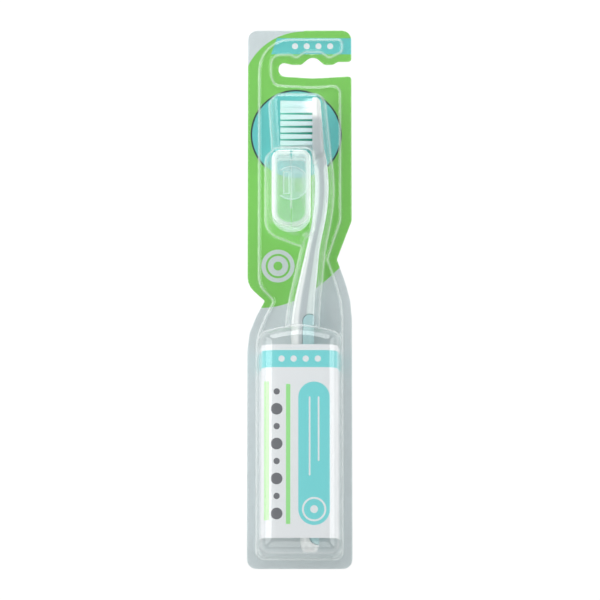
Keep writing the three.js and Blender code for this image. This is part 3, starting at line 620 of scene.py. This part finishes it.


# Nylon filament, drawn and end-rounded: a soft silky gloss along each bristle, with light passing at its tip,
# and painted shade.
def nylon_filament(name, root, tip):
    made, tree = start(name)
    place = add(tree, "TexCoord").outputs["Object"]
    along = add(tree, "SeparateXYZ", {0: place}).outputs["X"]
    root_x, tip_x = HEAD["face"] * MM, (HEAD["face"] - BRISTLE["length"]) * MM
    # The colour fades from a root in painted shade to a lighter tip
    fade = add(tree, "MapRange", {"Value": along, "From Min": root_x, "From Max": tip_x}).outputs[0]
    tint = {0: fade, 6: linear(root), 7: linear(tip)}
    colour = add(tree, "Mix", tint, data_type="RGBA").outputs[2]
    skin = add(tree, "BsdfPrincipled", {"Base Color": colour, "Roughness": 0.38, "IOR": 1.53})
    glow = add(tree, "BsdfTranslucent", {"Color": colour})
    lit = add(tree, "MixShader", {0: NYLON_BACKLIT, 1: skin.outputs[0], 2: glow.outputs[0]})
    add(tree, "OutputMaterial", {"Surface": pass_light(tree, lit.outputs[0], NYLON_PASS)})
    return made


# Natural polypropylene, thin-wall moulded: a milky veil that shows what is behind it, white where a rounded
# wall turns away and clearer again where it stands upright.
def natural_polypropylene(name, veil, wall_white):
    made, tree = start(name)
    coordinates = add(tree, "TexCoord")
    place = coordinates.outputs["Object"]
    flow = add(tree, "TexNoise", {"Vector": place, "Scale": per_metre(6), "Detail": 2})
    bump = add(tree, "Bump", {"Strength": 0.06, "Distance": 0.2 * MM, "Height": flow.outputs[0]}).outputs[0]
    edge_on = add(tree, "LayerWeight", {"Blend": 0.5}).outputs["Facing"]
    turned = add(tree, "MapRange", {"Value": edge_on, "From Min": CAP_TURN["least"]}).outputs[0]
    steep = add(tree, "Math", {0: turned, 1: CAP_TURN["power"]}, operation="POWER").outputs[0]
    rise = add(tree, "SeparateXYZ", {0: coordinates.outputs["Normal"]}).outputs["Z"]
    level = add(tree, "Math", {0: rise}, operation="ABSOLUTE").outputs[0]
    rounded = {"Value": level, "From Max": CAP_UPRIGHT["level"], "To Min": CAP_UPRIGHT["share"]}
    turning = add(tree, "MapRange", rounded).outputs[0]
    white = add(tree, "Math", {0: steep, 1: turning}, operation="MULTIPLY").outputs[0]
    share = add(tree, "Math", {0: white, 1: wall_white, 2: veil}, operation="MULTIPLY_ADD").outputs[0]
    milk = {"Base Color": linear(CAP_MILK), "Roughness": 0.22, "IOR": 1.49, "Normal": bump}
    body = add(tree, "BsdfPrincipled", milk)
    glow = add(tree, "BsdfTranslucent", {"Color": linear(CAP_MILK)})
    lit = add(tree, "MixShader", {0: CAP_BACKLIT, 1: body.outputs[0], 2: glow.outputs[0]})
    clear = add(tree, "BsdfTransparent", {"Color": linear(CAP_CLEAR)})
    wall = add(tree, "MixShader", {0: share, 1: clear.outputs[0], 2: lit.outputs[0]})
    add(tree, "OutputMaterial", {"Surface": pass_light(tree, wall.outputs[0], CAP_PASS)})
    return made


# Brass strip, cropped for the tuft anchors: warm yellow with fine rolling marks along it.
def rolled_brass():
    made, tree = start("rolled_brass")
    place = add(tree, "TexCoord").outputs["Object"]
    drawn = add(tree, "Mapping", {"Vector": place, "Scale": (1, 0.1, 1)}).outputs[0]
    rolling = add(tree, "TexNoise", {"Vector": drawn, "Scale": per_metre(0.15), "Detail": 2}).outputs[0]
    gloss = add(tree, "MapRange", {"Value": rolling, "To Min": 0.28, "To Max": 0.45}).outputs[0]
    bump = add(tree, "Bump", {"Strength": 0.1, "Distance": 0.01 * MM, "Height": rolling}).outputs[0]
    strip = {"Base Color": linear(BRASS), "Metallic": 1, "Roughness": gloss, "Normal": bump}
    add(tree, "OutputMaterial", {"Surface": add(tree, "BsdfPrincipled", strip).outputs[0]})
    return made


# Pieces

def relax_deep_draw(skin):
    """Rounds the handle chamber's shoulders and corners, where the sheet was drawn deepest."""
    group = skin.vertex_groups.new(name="deep_draw")
    top = at(0, DEEP_DRAW["top"], 0).y
    for vertex in skin.data.vertices:
        share = (vertex.co.z / MM - DEEP_DRAW["low"]) / (DEEP_DRAW["high"] - DEEP_DRAW["low"])
        if vertex.co.y < top and share > 0:
            group.add([vertex.index], min(share, 1), "REPLACE")
    finish_with(skin, "SMOOTH", factor=MOULD_ROUNDING, iterations=DEEP_DRAW["softening"],
                vertex_group=group.name)


def fold_lines(skin):
    """Points along the sharp folds of a form that is open in edit mode."""
    points = []
    for edge in bmesh.from_edit_mesh(skin.data).edges:
        if edge.is_manifold and edge.calc_face_angle() > SHARP_FOLD:
            first, second = (vertex.co for vertex in edge.verts)
            steps = max(1, round(edge.calc_length() / (FOLD_STEP * MM)))
            points += [first.lerp(second, k / steps) for k in range(steps + 1)]
    return points


def mark_folds(skin, points):
    """Writes at each vertex how near a fold it is, from 0 well away from it to 1 in its crease, for the
    painted fold highlight.
    """
    tree = KDTree(len(points))
    for i, point in enumerate(points):
        tree.insert(point, i)
    tree.balance()
    fold = skin.data.attributes.new("fold", "FLOAT", "POINT")
    for vertex in skin.data.vertices:
        away = tree.find(vertex.co)[2] / MM
        fold.data[vertex.index].value = max(1 - away / FOLD_REACH, 0) ** FOLD_SOFTNESS


def clear_blister(finish):
    """The formed sheet: the outer skin of its form, closed, softened as forming leaves it, trimmed and given
    its thickness."""
    skin = twin(nodes["blister_shell"])
    edit(skin)
    bpy.ops.mesh.remove_doubles(threshold=WELD * MM)
    pick(skin, "FACE", lambda face: face.normal.z < LEAST_RISE)
    bpy.ops.mesh.delete(type="FACE")
    folds = fold_lines(skin)
    bpy.ops.mesh.select_all(action="SELECT")
    bpy.ops.mesh.region_to_loop()
    bpy.ops.mesh.extrude_edges_move(TRANSFORM_OT_translate={"value": (0, 0, -SHEET_SKIRT * MM)})
    bpy.ops.mesh.edge_face_add()
    soften(skin, SHEET_VOXEL, SHEET_SOFTENING)
    relax_deep_draw(skin)
    edit(skin)
    flange_top = min(vertex.co.z for vertex in skin.data.vertices) + SHEET_SKIRT * MM
    trim = Vector((0, 0, flange_top - SHEET_TRIM * MM))
    bpy.ops.mesh.bisect(plane_co=trim, plane_no=(0, 0, 1), clear_inner=True)
    clear_bench()
    mark_folds(skin, folds)
    edit(skin)
    layer = bmesh.from_edit_mesh(skin.data).verts.layers.float["fold"]
    pick(skin, "FACE", lambda face: all(vertex[layer] == 0 for vertex in face.verts))
    bpy.ops.mesh.dissolve_limited(angle_limit=SHEET_FLATNESS)
    clear_bench()
    finish_with(skin, "SOLIDIFY", thickness=SHEET * MM, offset=-1)
    coat(skin, finish)
    keep(skin, "clear_blister", "blister", ["blister_shell"], crease=60)
    finish_with(skin, "WEIGHTED_NORMAL", keep_sharp=True)


def paper_insert(printed, bare):
    """The printed paper: a flat strip whose long edges are folded over the shoulders and down to the card."""
    clear_bench()
    middle = at(0, (PAPER["low"] + PAPER["high"]) / 2, PAPER["top"])
    size = Vector((2 * PAPER["flat_half"], PAPER["high"] - PAPER["low"], 1)) * MM
    bpy.ops.mesh.primitive_plane_add(size=1, location=middle)
    strip = bpy.context.object
    strip.scale = size
    settle(strip)
    coat(strip, printed, bare)
    steps = PAPER_SHOULDER["steps"]
    for side in (-1, 1):
        fold = [(PAPER["flat_half"], PAPER["top"])]
        for k in range(1, steps + 1):
            angle = math.pi / 2 * k / steps
            reach = PAPER["flat_half"] + PAPER_SHOULDER["reach"] * math.sin(angle)
            fold.append((reach, PAPER["top"] - PAPER_SHOULDER["drop"] * (1 - math.cos(angle))))
        fold.append((PAPER_FOOT["half"], PAPER_FOOT["height"]))
        edit(strip)
        pick(strip, "EDGE", lambda edge: all_at(edge, 0, side * PAPER["flat_half"] * MM))
        for (x, z), (next_x, next_z) in zip(fold, fold[1:]):
            step = Vector((side * (next_x - x), 0, next_z - z)) * MM
            bpy.ops.mesh.extrude_edges_move(TRANSFORM_OT_translate={"value": step})
    clear_bench()
    finish_with(strip, "SOLIDIFY", thickness=PAPER["thick"] * MM, offset=-1, material_offset=1,
                material_offset_rim=1)
    keep(strip, "paper_insert", "blister", ["label_insert"])


def brush_section(height):
    """Centre line x, half thickness and half width of the brush at a height, smooth through the stations."""
    heights = [station[0] for station in BRUSH_STATIONS]
    last = len(heights) - 1
    after = next(i for i in range(1, last + 1) if height <= heights[i] or i == last)
    span = heights[after] - heights[after - 1]
    share = (height - heights[after - 1]) / span

    def slope(i, k):
        low, high = BRUSH_STATIONS[max(i - 1, 0)], BRUSH_STATIONS[min(i + 1, last)]
        return (high[k] - low[k]) / (high[0] - low[0])

    section = []
    for k in (1, 2, 3):
        start_value, end_value = BRUSH_STATIONS[after - 1][k], BRUSH_STATIONS[after][k]
        start_rise, end_rise = slope(after - 1, k) * span, slope(after, k) * span
        bend = start_value * (2 * share ** 3 - 3 * share ** 2 + 1)
        bend += end_value * (3 * share ** 2 - 2 * share ** 3)
        bend += start_rise * (share ** 3 - 2 * share ** 2 + share) + end_rise * (share ** 3 - share ** 2)
        section.append(bend)
    return section


def brush_stem():
    """Handle and neck: one squarish ring, extruded from the tail up the stations."""
    tail, shoulder, top = BRUSH_STATIONS[0][0], BRUSH_STATIONS[2][0], BRUSH_STATIONS[-1][0]
    heights = [tail + (shoulder - tail) * k / BRUSH_TAIL_RINGS for k in range(BRUSH_TAIL_RINGS)]
    heights += [shoulder + (top - shoulder) * k / BRUSH_RINGS for k in range(BRUSH_RINGS + 1)]
    clear_bench()
    bpy.ops.mesh.primitive_circle_add(
        vertices=BRUSH_SIDES, radius=1, fill_type="NGON", rotation=(math.pi / 2, 0, 0))
    stem = settle(bpy.context.object)
    for vertex in stem.data.vertices:
        for axis in (0, 2):
            vertex.co[axis] = math.copysign(abs(vertex.co[axis]) ** BRUSH_SQUARENESS, vertex.co[axis])
    centre, thick, wide = brush_section(tail)
    edit(stem)
    bpy.ops.transform.resize(value=(thick * MM, 1, wide * MM), center_override=(0, 0, 0))
    bpy.ops.transform.translate(value=at(centre, tail, BRUSH_Z))
    below = (centre, tail, thick, wide)
    for height in heights[1:]:
        centre, thick, wide = brush_section(height)
        step = Vector((centre - below[0], height - below[1], 0)) * MM
        bpy.ops.mesh.extrude_region_move(TRANSFORM_OT_translate={"value": step})
        growth = (thick / below[2], 1, wide / below[3])
        bpy.ops.transform.resize(value=growth, center_override=at(centre, height, BRUSH_Z))
        below = (centre, height, thick, wide)
    bpy.ops.mesh.select_all(action="SELECT")
    bpy.ops.mesh.normals_make_consistent(inside=False)
    clear_bench()
    return stem


def brush_head():
    """The head: a block that thins to the toe, with round corners and a rounded back."""
    half = HEAD["width"] / 2
    back = HEAD["face"] + HEAD["heel_thick"]
    low, high = at(HEAD["face"], HEAD["heel"], BRUSH_Z - half), at(back, HEAD["toe"], BRUSH_Z + half)
    head = block(low, high)
    edit(head)
    pick(head, "EDGE", lambda edge: all_at(edge, 0, high.x) and all_at(edge, 1, high.y))
    bpy.ops.transform.translate(value=((HEAD["toe_thick"] - HEAD["heel_thick"]) * MM, 0, 0))
    pick(head, "EDGE", lambda edge: all_at(edge, 1, low.y) and all_at(edge, 2, edge.verts[0].co.z)
         or all_at(edge, 1, high.y) and all_at(edge, 2, edge.verts[0].co.z))
    bpy.ops.mesh.bevel(offset=HEAD_CORNER * MM, segments=HEAD_CORNER_STEPS, affect="EDGES")
    pick(head, "FACE", lambda face: face.normal.x > SQUARE_ON)
    bpy.ops.mesh.region_to_loop()
    bpy.ops.mesh.bevel(offset=HEAD_BACK_EDGE * MM, segments=HEAD_BACK_STEPS, affect="EDGES")
    clear_bench()
    return head


def grip_block(gap):
    """The room that the grip fills behind the handle's centre line, taken in by a gap all round."""
    low, high = GRIP["low"] + gap, GRIP["high"] - gap
    heights = [low + (high - low) * k / GRIP["steps"] for k in range(GRIP["steps"] + 1)]
    middles = [brush_section(height)[0] + gap for height in heights]
    reach, half = GRIP["reach"], GRIP["half_width"]
    room = block(at(middles[0], low, BRUSH_Z - half), at(middles[0] + reach, heights[1], BRUSH_Z + half))
    edit(room)
    pick(room, "FACE", lambda face: face.normal.y > SQUARE_ON)
    bpy.ops.transform.translate(value=((middles[1] - middles[0]) * MM, 0, 0))
    for k in range(2, len(heights)):
        step = Vector((middles[k] - middles[k - 1], heights[k] - heights[k - 1], 0)) * MM
        bpy.ops.mesh.extrude_region_move(TRANSFORM_OT_translate={"value": step})
    corners = [at(middles[0], low, 0), at(middles[-1], high, 0)]
    pick(room, "EDGE", lambda edge: any(
        all_at(edge, 0, corner.x) and all_at(edge, 1, corner.y) for corner in corners))
    bpy.ops.mesh.bevel(offset=GRIP_END["round"] * MM, segments=GRIP_END["steps"], affect="EDGES",
                       clamp_overlap=False)
    bpy.ops.mesh.select_all(action="SELECT")
    bpy.ops.mesh.normals_make_consistent(inside=False)
    clear_bench()
    return room


def mark_across(body):
    """Writes at each vertex where it is across the stem, from -1 on the bristle side to 1 on the grip side,
    which places the painted light and shade. It is 0 over the head, and -1 all over the toe and the tail,
    under the painted highlight."""
    across = body.data.attributes.new("across", "FLOAT", "POINT")
    for vertex in body.data.vertices:
        height = (vertex.co.y - card_low.y) / MM
        centre, thick, _ = brush_section(min(height, HEAD["heel"]))
        fade = min(max((HEAD["heel"] - height) / HEAD_CORNER, 0), 1)
        # The toe and the tail take the bristle side's painted highlight all over
        toe = (height - TOE_PAINTED_HIGHLIGHT["low"]) / (TOE_PAINTED_HIGHLIGHT["high"] - TOE_PAINTED_HIGHLIGHT["low"])
        tail = (TAIL_PAINTED_HIGHLIGHT["high"] - height) / (TAIL_PAINTED_HIGHLIGHT["high"] - TAIL_PAINTED_HIGHLIGHT["low"])
        glow = min(max(toe, tail, 0), 1)
        place = (vertex.co.x / MM - centre) / thick
        across.data[vertex.index].value = fade * (1 - glow) * place - glow


def toothbrush(clear, rubber):
    """The moulded body with its head, and the rubber grip let into the back of the handle."""
    stem = brush_stem()
    grip = twin(stem)
    carve(stem, grip_block(0), "DIFFERENCE")
    body = join([stem, brush_head()])
    soften(body, BRUSH_VOXEL, BRUSH_SOFTENING)
    mark_across(body)
    coat(body, clear)
    keep(body, "clear_brush_body", "brush", ["brush_body"], crease=60)
    carve(grip, grip_block(GRIP["gap"]), "INTERSECT")
    soften(grip, GRIP_VOXEL, GRIP_SOFTENING)
    coat(grip, rubber)
    keep(grip, "rubber_grip", "brush", ["brush_back_grip"], crease=60)


def one_bristle():
    """A single bristle from its root at the origin, with a rounded tip."""
    bristle = rod(Vector(), BRISTLE["radius"], BRISTLE["length"], BRISTLE["sides"])
    edit(bristle)
    bpy.ops.transform.translate(value=(0, 0, BRISTLE["length"] * MM / 2))
    pick(bristle, "FACE", lambda face: face.normal.z > SQUARE_ON)
    bpy.ops.mesh.extrude_region_move(TRANSFORM_OT_translate={"value": (0, 0, BRISTLE["tip"] * MM)})
    share = BRISTLE["tip_share"]
    tip = (0, 0, (BRISTLE["length"] + BRISTLE["tip"]) * MM)
    bpy.ops.transform.resize(value=(share, share, 1), center_override=tip)
    pick(bristle, "FACE", lambda face: face.normal.z < -SQUARE_ON)
    bpy.ops.mesh.delete(type="FACE")
    clear_bench()
    return bristle


def tuft(bristle, y, z, fullness, draw):
    """Bristles of one hole, packed round its middle and spreading to their tips."""
    strands = []
    turn = draw.uniform(0, 2 * math.pi)
    for k in range(BRISTLES_PER_TUFT):
        share = math.sqrt((k + 0.5) / BRISTLES_PER_TUFT)
        angle = turn + k * GOLDEN_ANGLE
        out = Vector((0, math.cos(angle), math.sin(angle))) * share
        drift = Vector((0, draw.uniform(-1, 1), draw.uniform(-1, 1))) * BRISTLE_SPLAY
        short = draw.uniform(0, BRISTLE_UNEVEN) + BRISTLE["tip"]
        root = at(HEAD["face"] + BRISTLE["rooted"], y, z) + out * TUFT_ROOT * fullness * MM
        end = at(HEAD["face"] - BRISTLE["length"] + short, y, z) + (out * TUFT_TIP * fullness + drift) * MM
        line = end - root
        strand = twin(bristle)
        stretch = Matrix.Diagonal((1, 1, line.length / (BRISTLE["length"] * MM), 1))
        lean = line.to_track_quat("Z", "Y").to_matrix().to_4x4()
        strand.data.transform(Matrix.Translation(root) @ lean @ stretch)
        strands.append(strand)
    return strands


def bristles(white, teal):
    """Four groups of tufts: the white outer rows and toe, and the teal rows between them."""
    outer = [TUFT_FIRST - k * TUFT_PITCH for k in range(TUFT_COLUMNS)]
    between = [TUFT_FIRST - (k + 0.5) * TUFT_PITCH for k in range(TUFT_COLUMNS - 1)]
    inner = [(y, side * TUFT_INNER) for y in between for side in (-1, 1)]
    groups = {
        "front_row": (white, "white_bristle", 1, [(y, TUFT_OUTER) for y in outer]),
        "rear_row": (white, "white_bristle", 1, [(y, -TUFT_OUTER) for y in outer]),
        "inner_rows": (teal, "teal_bristle", INNER_FULLNESS, inner),
        "toe": (white, "white_bristle", TOE_FULLNESS, TOE_TUFTS),
    }
    bristle = one_bristle()
    draw = random.Random(BRISTLE_SEED)
    for name, (finish, slot, fullness, holes) in groups.items():
        strands = []
        for y, z in holes:
            strands += tuft(bristle, y, BRUSH_Z + z, fullness, draw)
        row = join(strands)
        coat(row, finish)
        keep(row, "bristles_" + name, "brush", ["tufts_" + name], crease=80)
    bpy.data.objects.remove(bristle)


def cap_form():
    """The cap's outside: a box with two well-rounded corners below, two smaller ones above and soft edges."""
    form = block(at(CAP["left"], CAP["low"], CAP["base"]), at(CAP["right"], CAP["high"], CAP["top"]))
    base, top = CAP["base"] * MM, CAP["top"] * MM
    edit(form)
    for end, corner in ((CAP["low"], CAP_ROUND_END), (CAP["high"], CAP_SQUARE_END)):
        line = at(0, end, 0).y
        pick(form, "EDGE", lambda edge: all_at(edge, 1, line) and not all_at(edge, 2, edge.verts[0].co.z))
        bpy.ops.mesh.bevel(offset=corner["radius"] * MM, segments=corner["steps"], affect="EDGES")
    pick(form, "EDGE", lambda edge: all_at(edge, 2, base) or all_at(edge, 2, top))
    bpy.ops.mesh.bevel(offset=CAP_EDGE["radius"] * MM, segments=CAP_EDGE["steps"], affect="EDGES")
    clear_bench()
    return form


def cap_half(form, side):
    """One half of the cap as an open shell, with its share of the neck hole and the hinge groove."""
    half = twin(form)
    edit(half)
    seam = at(CAP_MIDDLE + side * CAP_SEAM / 2, 0, 0)
    bpy.ops.mesh.bisect(plane_co=seam, plane_no=(side, 0, 0), clear_inner=True)
    finish_with(half, "SOLIDIFY", thickness=CAP_WALL * MM, offset=-1, use_even_offset=True)
    lying = (math.pi / 2, 0, 0)
    neck = at(CAP_MIDDLE, CAP["high"], (CAP["base"] + CAP["top"]) / 2)
    hole = rod(neck, CAP_NECK_HOLE["radius"], CAP_NECK_HOLE["length"], CAP_NECK_HOLE["sides"], lying)
    carve(half, hole, "DIFFERENCE")
    hinge = at(CAP_MIDDLE, CAP_WAIST, HINGE["height"])
    length = CAP["high"] - CAP["low"] + 2 * CAP_GAP
    carve(half, rod(hinge, HINGE["groove"], length, HINGE["sides"], lying), "DIFFERENCE")
    for face in half.data.polygons:
        if math.hypot(face.center.x - hinge.x, face.center.z - hinge.z) < HINGE["groove"] * MM:
            face.material_index = HINGE_FINISH
    return half


def break_edge(piece, height, finishes):
    """Coats a piece and chamfers its edges at a height, with the edge finish on the chamfers, near white as a
    painted highlight.
    """
    coat(piece, *finishes)
    edit(piece)
    pick(piece, "EDGE", lambda edge: all_at(edge, 2, height * MM))
    bpy.ops.mesh.bevel(offset=CLASP_EDGE["width"] * MM, segments=CLASP_EDGE["steps"], affect="EDGES",
                       material=EDGE_FINISH)
    clear_bench()


def coat_flats(piece):
    """Gives the flat finish to a piece's faces that lie level."""
    for face in piece.data.polygons:
        if abs(face.normal.z) > DEAD_LEVEL:
            face.material_index = FLAT_FINISH


def bar_across(low_x, high_x, length, low_z, high_z, finishes):
    """A small block across the cap's back, centred on its length, with broken edges."""
    half = length / 2
    bar = block(at(low_x, CLASP_MIDDLE - half, low_z), at(high_x, CLASP_MIDDLE + half, high_z))
    break_edge(bar, low_z, finishes)
    coat_flats(bar)
    return bar


def travel_cap(*finishes):
    """The cap's two halves: the left one carries the catch and opens, the right one the round clasp. The
    finishes are those of the walls, of the clasp's edges, of the hinge groove and of the clasp's flats."""
    form = cap_form()
    coat(form, *finishes)
    left, right = cap_half(form, -1), cap_half(form, 1)
    bpy.data.objects.remove(form)
    seat = CAP["base"] + CAP_WALL / 2
    catch_low = CAP_MIDDLE + CATCH["offset"] - CATCH["width"] / 2
    catch_high = CAP_MIDDLE + CATCH["offset"] + CATCH["width"] / 2
    carve(left, bar_across(catch_low, catch_high, CATCH["length"], CLASP["low"], seat, finishes), "UNION")
    middle = at(CAP_MIDDLE, CLASP_MIDDLE, (CLASP["low"] + CLASP["high"]) / 2)
    disc = rod(middle, CLASP["radius"], CLASP["high"] - CLASP["low"], CLASP["sides"])
    break_edge(disc, CLASP["high"], finishes)
    coat_flats(disc)
    room = CATCH["length"] + 2 * CAP_GAP
    window = block(at(CAP["left"], CLASP_MIDDLE - room / 2, 0),
                   at(catch_high + CAP_GAP, CLASP_MIDDLE + room / 2, CAP["base"]))
    carve(disc, window, "DIFFERENCE")
    root = bar_across(CAP_MIDDLE + CLASP["root_start"], CAP_MIDDLE + CLASP["root_end"], CLASP["root_length"],
                      CLASP["low"], seat, finishes)
    carve(disc, root, "UNION")
    carve(right, disc, "UNION")
    keep(left, "cap_lid_half", "cap_lid", ["cap_left_shell"], crease=35)
    keep(right, "cap_fixed_half", "cap", ["cap_right_shell"], crease=35)


# Studio

def softbox(name, place, size, power):
    """A soft rectangular lamp that faces the middle of the pack."""
    lamp = bpy.data.lights.new(name, "AREA")
    lamp.shape = "RECTANGLE"
    lamp.size, lamp.size_y = size
    lamp.energy = power
    stand = bpy.data.objects.new(name, lamp)
    stand.location = place
    stand.rotation_euler = (-Vector(place)).to_track_quat("-Z", "Y").to_euler()
    bpy.context.scene.collection.objects.link(stand)


def white_room():
    """A dim white room that fills the shadows, and looks plain white itself."""
    room = bpy.data.worlds.new("white_room")
    bpy.context.scene.world = room
    room.use_nodes = True
    tree = room.node_tree
    tree.nodes.clear()
    fill = add(tree, "Background", {"Color": linear("#ffffff"), "Strength": ROOM_FILL})
    white = add(tree, "Background", {"Color": linear("#ffffff"), "Strength": 1})
    seen = add(tree, "LightPath").outputs["Is Camera Ray"]
    mixed = add(tree, "MixShader", {0: seen, 1: fill.outputs[0], 2: white.outputs[0]})
    add(tree, "OutputWorld", {"Surface": mixed.outputs[0]})


# Studio paper: a matt white sheet that keeps part of the pack's shadow. It looks plain white to the camera,
# in a gloss and through a clear piece.
def studio_paper():
    made, tree = start("studio_paper")
    rays = add(tree, "LightPath").outputs
    seen = rays["Is Camera Ray"]
    for ray in ("Is Glossy Ray", "Is Transmission Ray"):
        seen = add(tree, "Math", {0: seen, 1: rays[ray]}, operation="MAXIMUM").outputs[0]
    paper = add(tree, "BsdfDiffuse", {"Color": linear("#f6f6f6")})
    bright = add(tree, "Emission", {"Color": linear("#ffffff"), "Strength": FLOOR["glow"]})
    share = add(tree, "Math", {0: seen, 1: FLOOR["white"]}, operation="MULTIPLY").outputs[0]
    mixed = add(tree, "MixShader", {0: share, 1: paper.outputs[0], 2: bright.outputs[0]})
    add(tree, "OutputMaterial", {"Surface": mixed.outputs[0]})
    return made


def studio():
    """White room, four softboxes round the pack, a small lamp for the glint at the toe, and a paper floor."""
    white_room()
    for name, lamp in LAMPS.items():
        softbox(name, **lamp)
    clear_bench()
    bpy.ops.mesh.primitive_plane_add(size=FLOOR["size"] * MM, location=(0, 0, -FLOOR["drop"] * MM))
    floor = settle(bpy.context.object)
    floor.name = "studio_floor"
    floor.data.materials.append(studio_paper())


def camera():
    """Camera almost square on to the card, a little from its foot."""
    lens = bpy.data.cameras.new("photo_camera")
    lens.lens = CAMERA_LENS
    lens.clip_end = CAMERA_REACH * MM
    stand = bpy.data.objects.new("photo_camera", lens)
    back = Vector((0, -math.sin(CAMERA_TILT), math.cos(CAMERA_TILT))) * CAMERA_DISTANCE
    stand.location = (CAMERA_AIM + back) * MM
    stand.rotation_euler = (CAMERA_TILT, 0, 0)
    bpy.context.scene.collection.objects.link(stand)
    bpy.context.scene.camera = stand


camera()
clear_blister(formed_clear_pet())
paper_insert(printed_art_paper(), bare_paper())
toothbrush(clear_copolyester(), soft_touch_rubber())
bristles(nylon_filament("white_nylon_filament", **WHITE_NYLON),
         nylon_filament("teal_nylon_filament", **TEAL_NYLON))
travel_cap(*(natural_polypropylene(name, *veil) for name, veil in CAP_VEILS.items()))
coat(nodes["backing_card"], printed_bleached_board())
coat(nodes["cap_hinge_web"], natural_polypropylene("hinge_polypropylene", *WEB_VEIL))
brass = rolled_brass()
for name, node in nodes.items():
    if name.startswith("anchor_"):
        coat(node, brass)
studio()
bpy.context.scene.view_settings.view_transform = "Standard"
bpy.context.scene.cycles.transparent_max_bounces = CLEAR_LAYERS
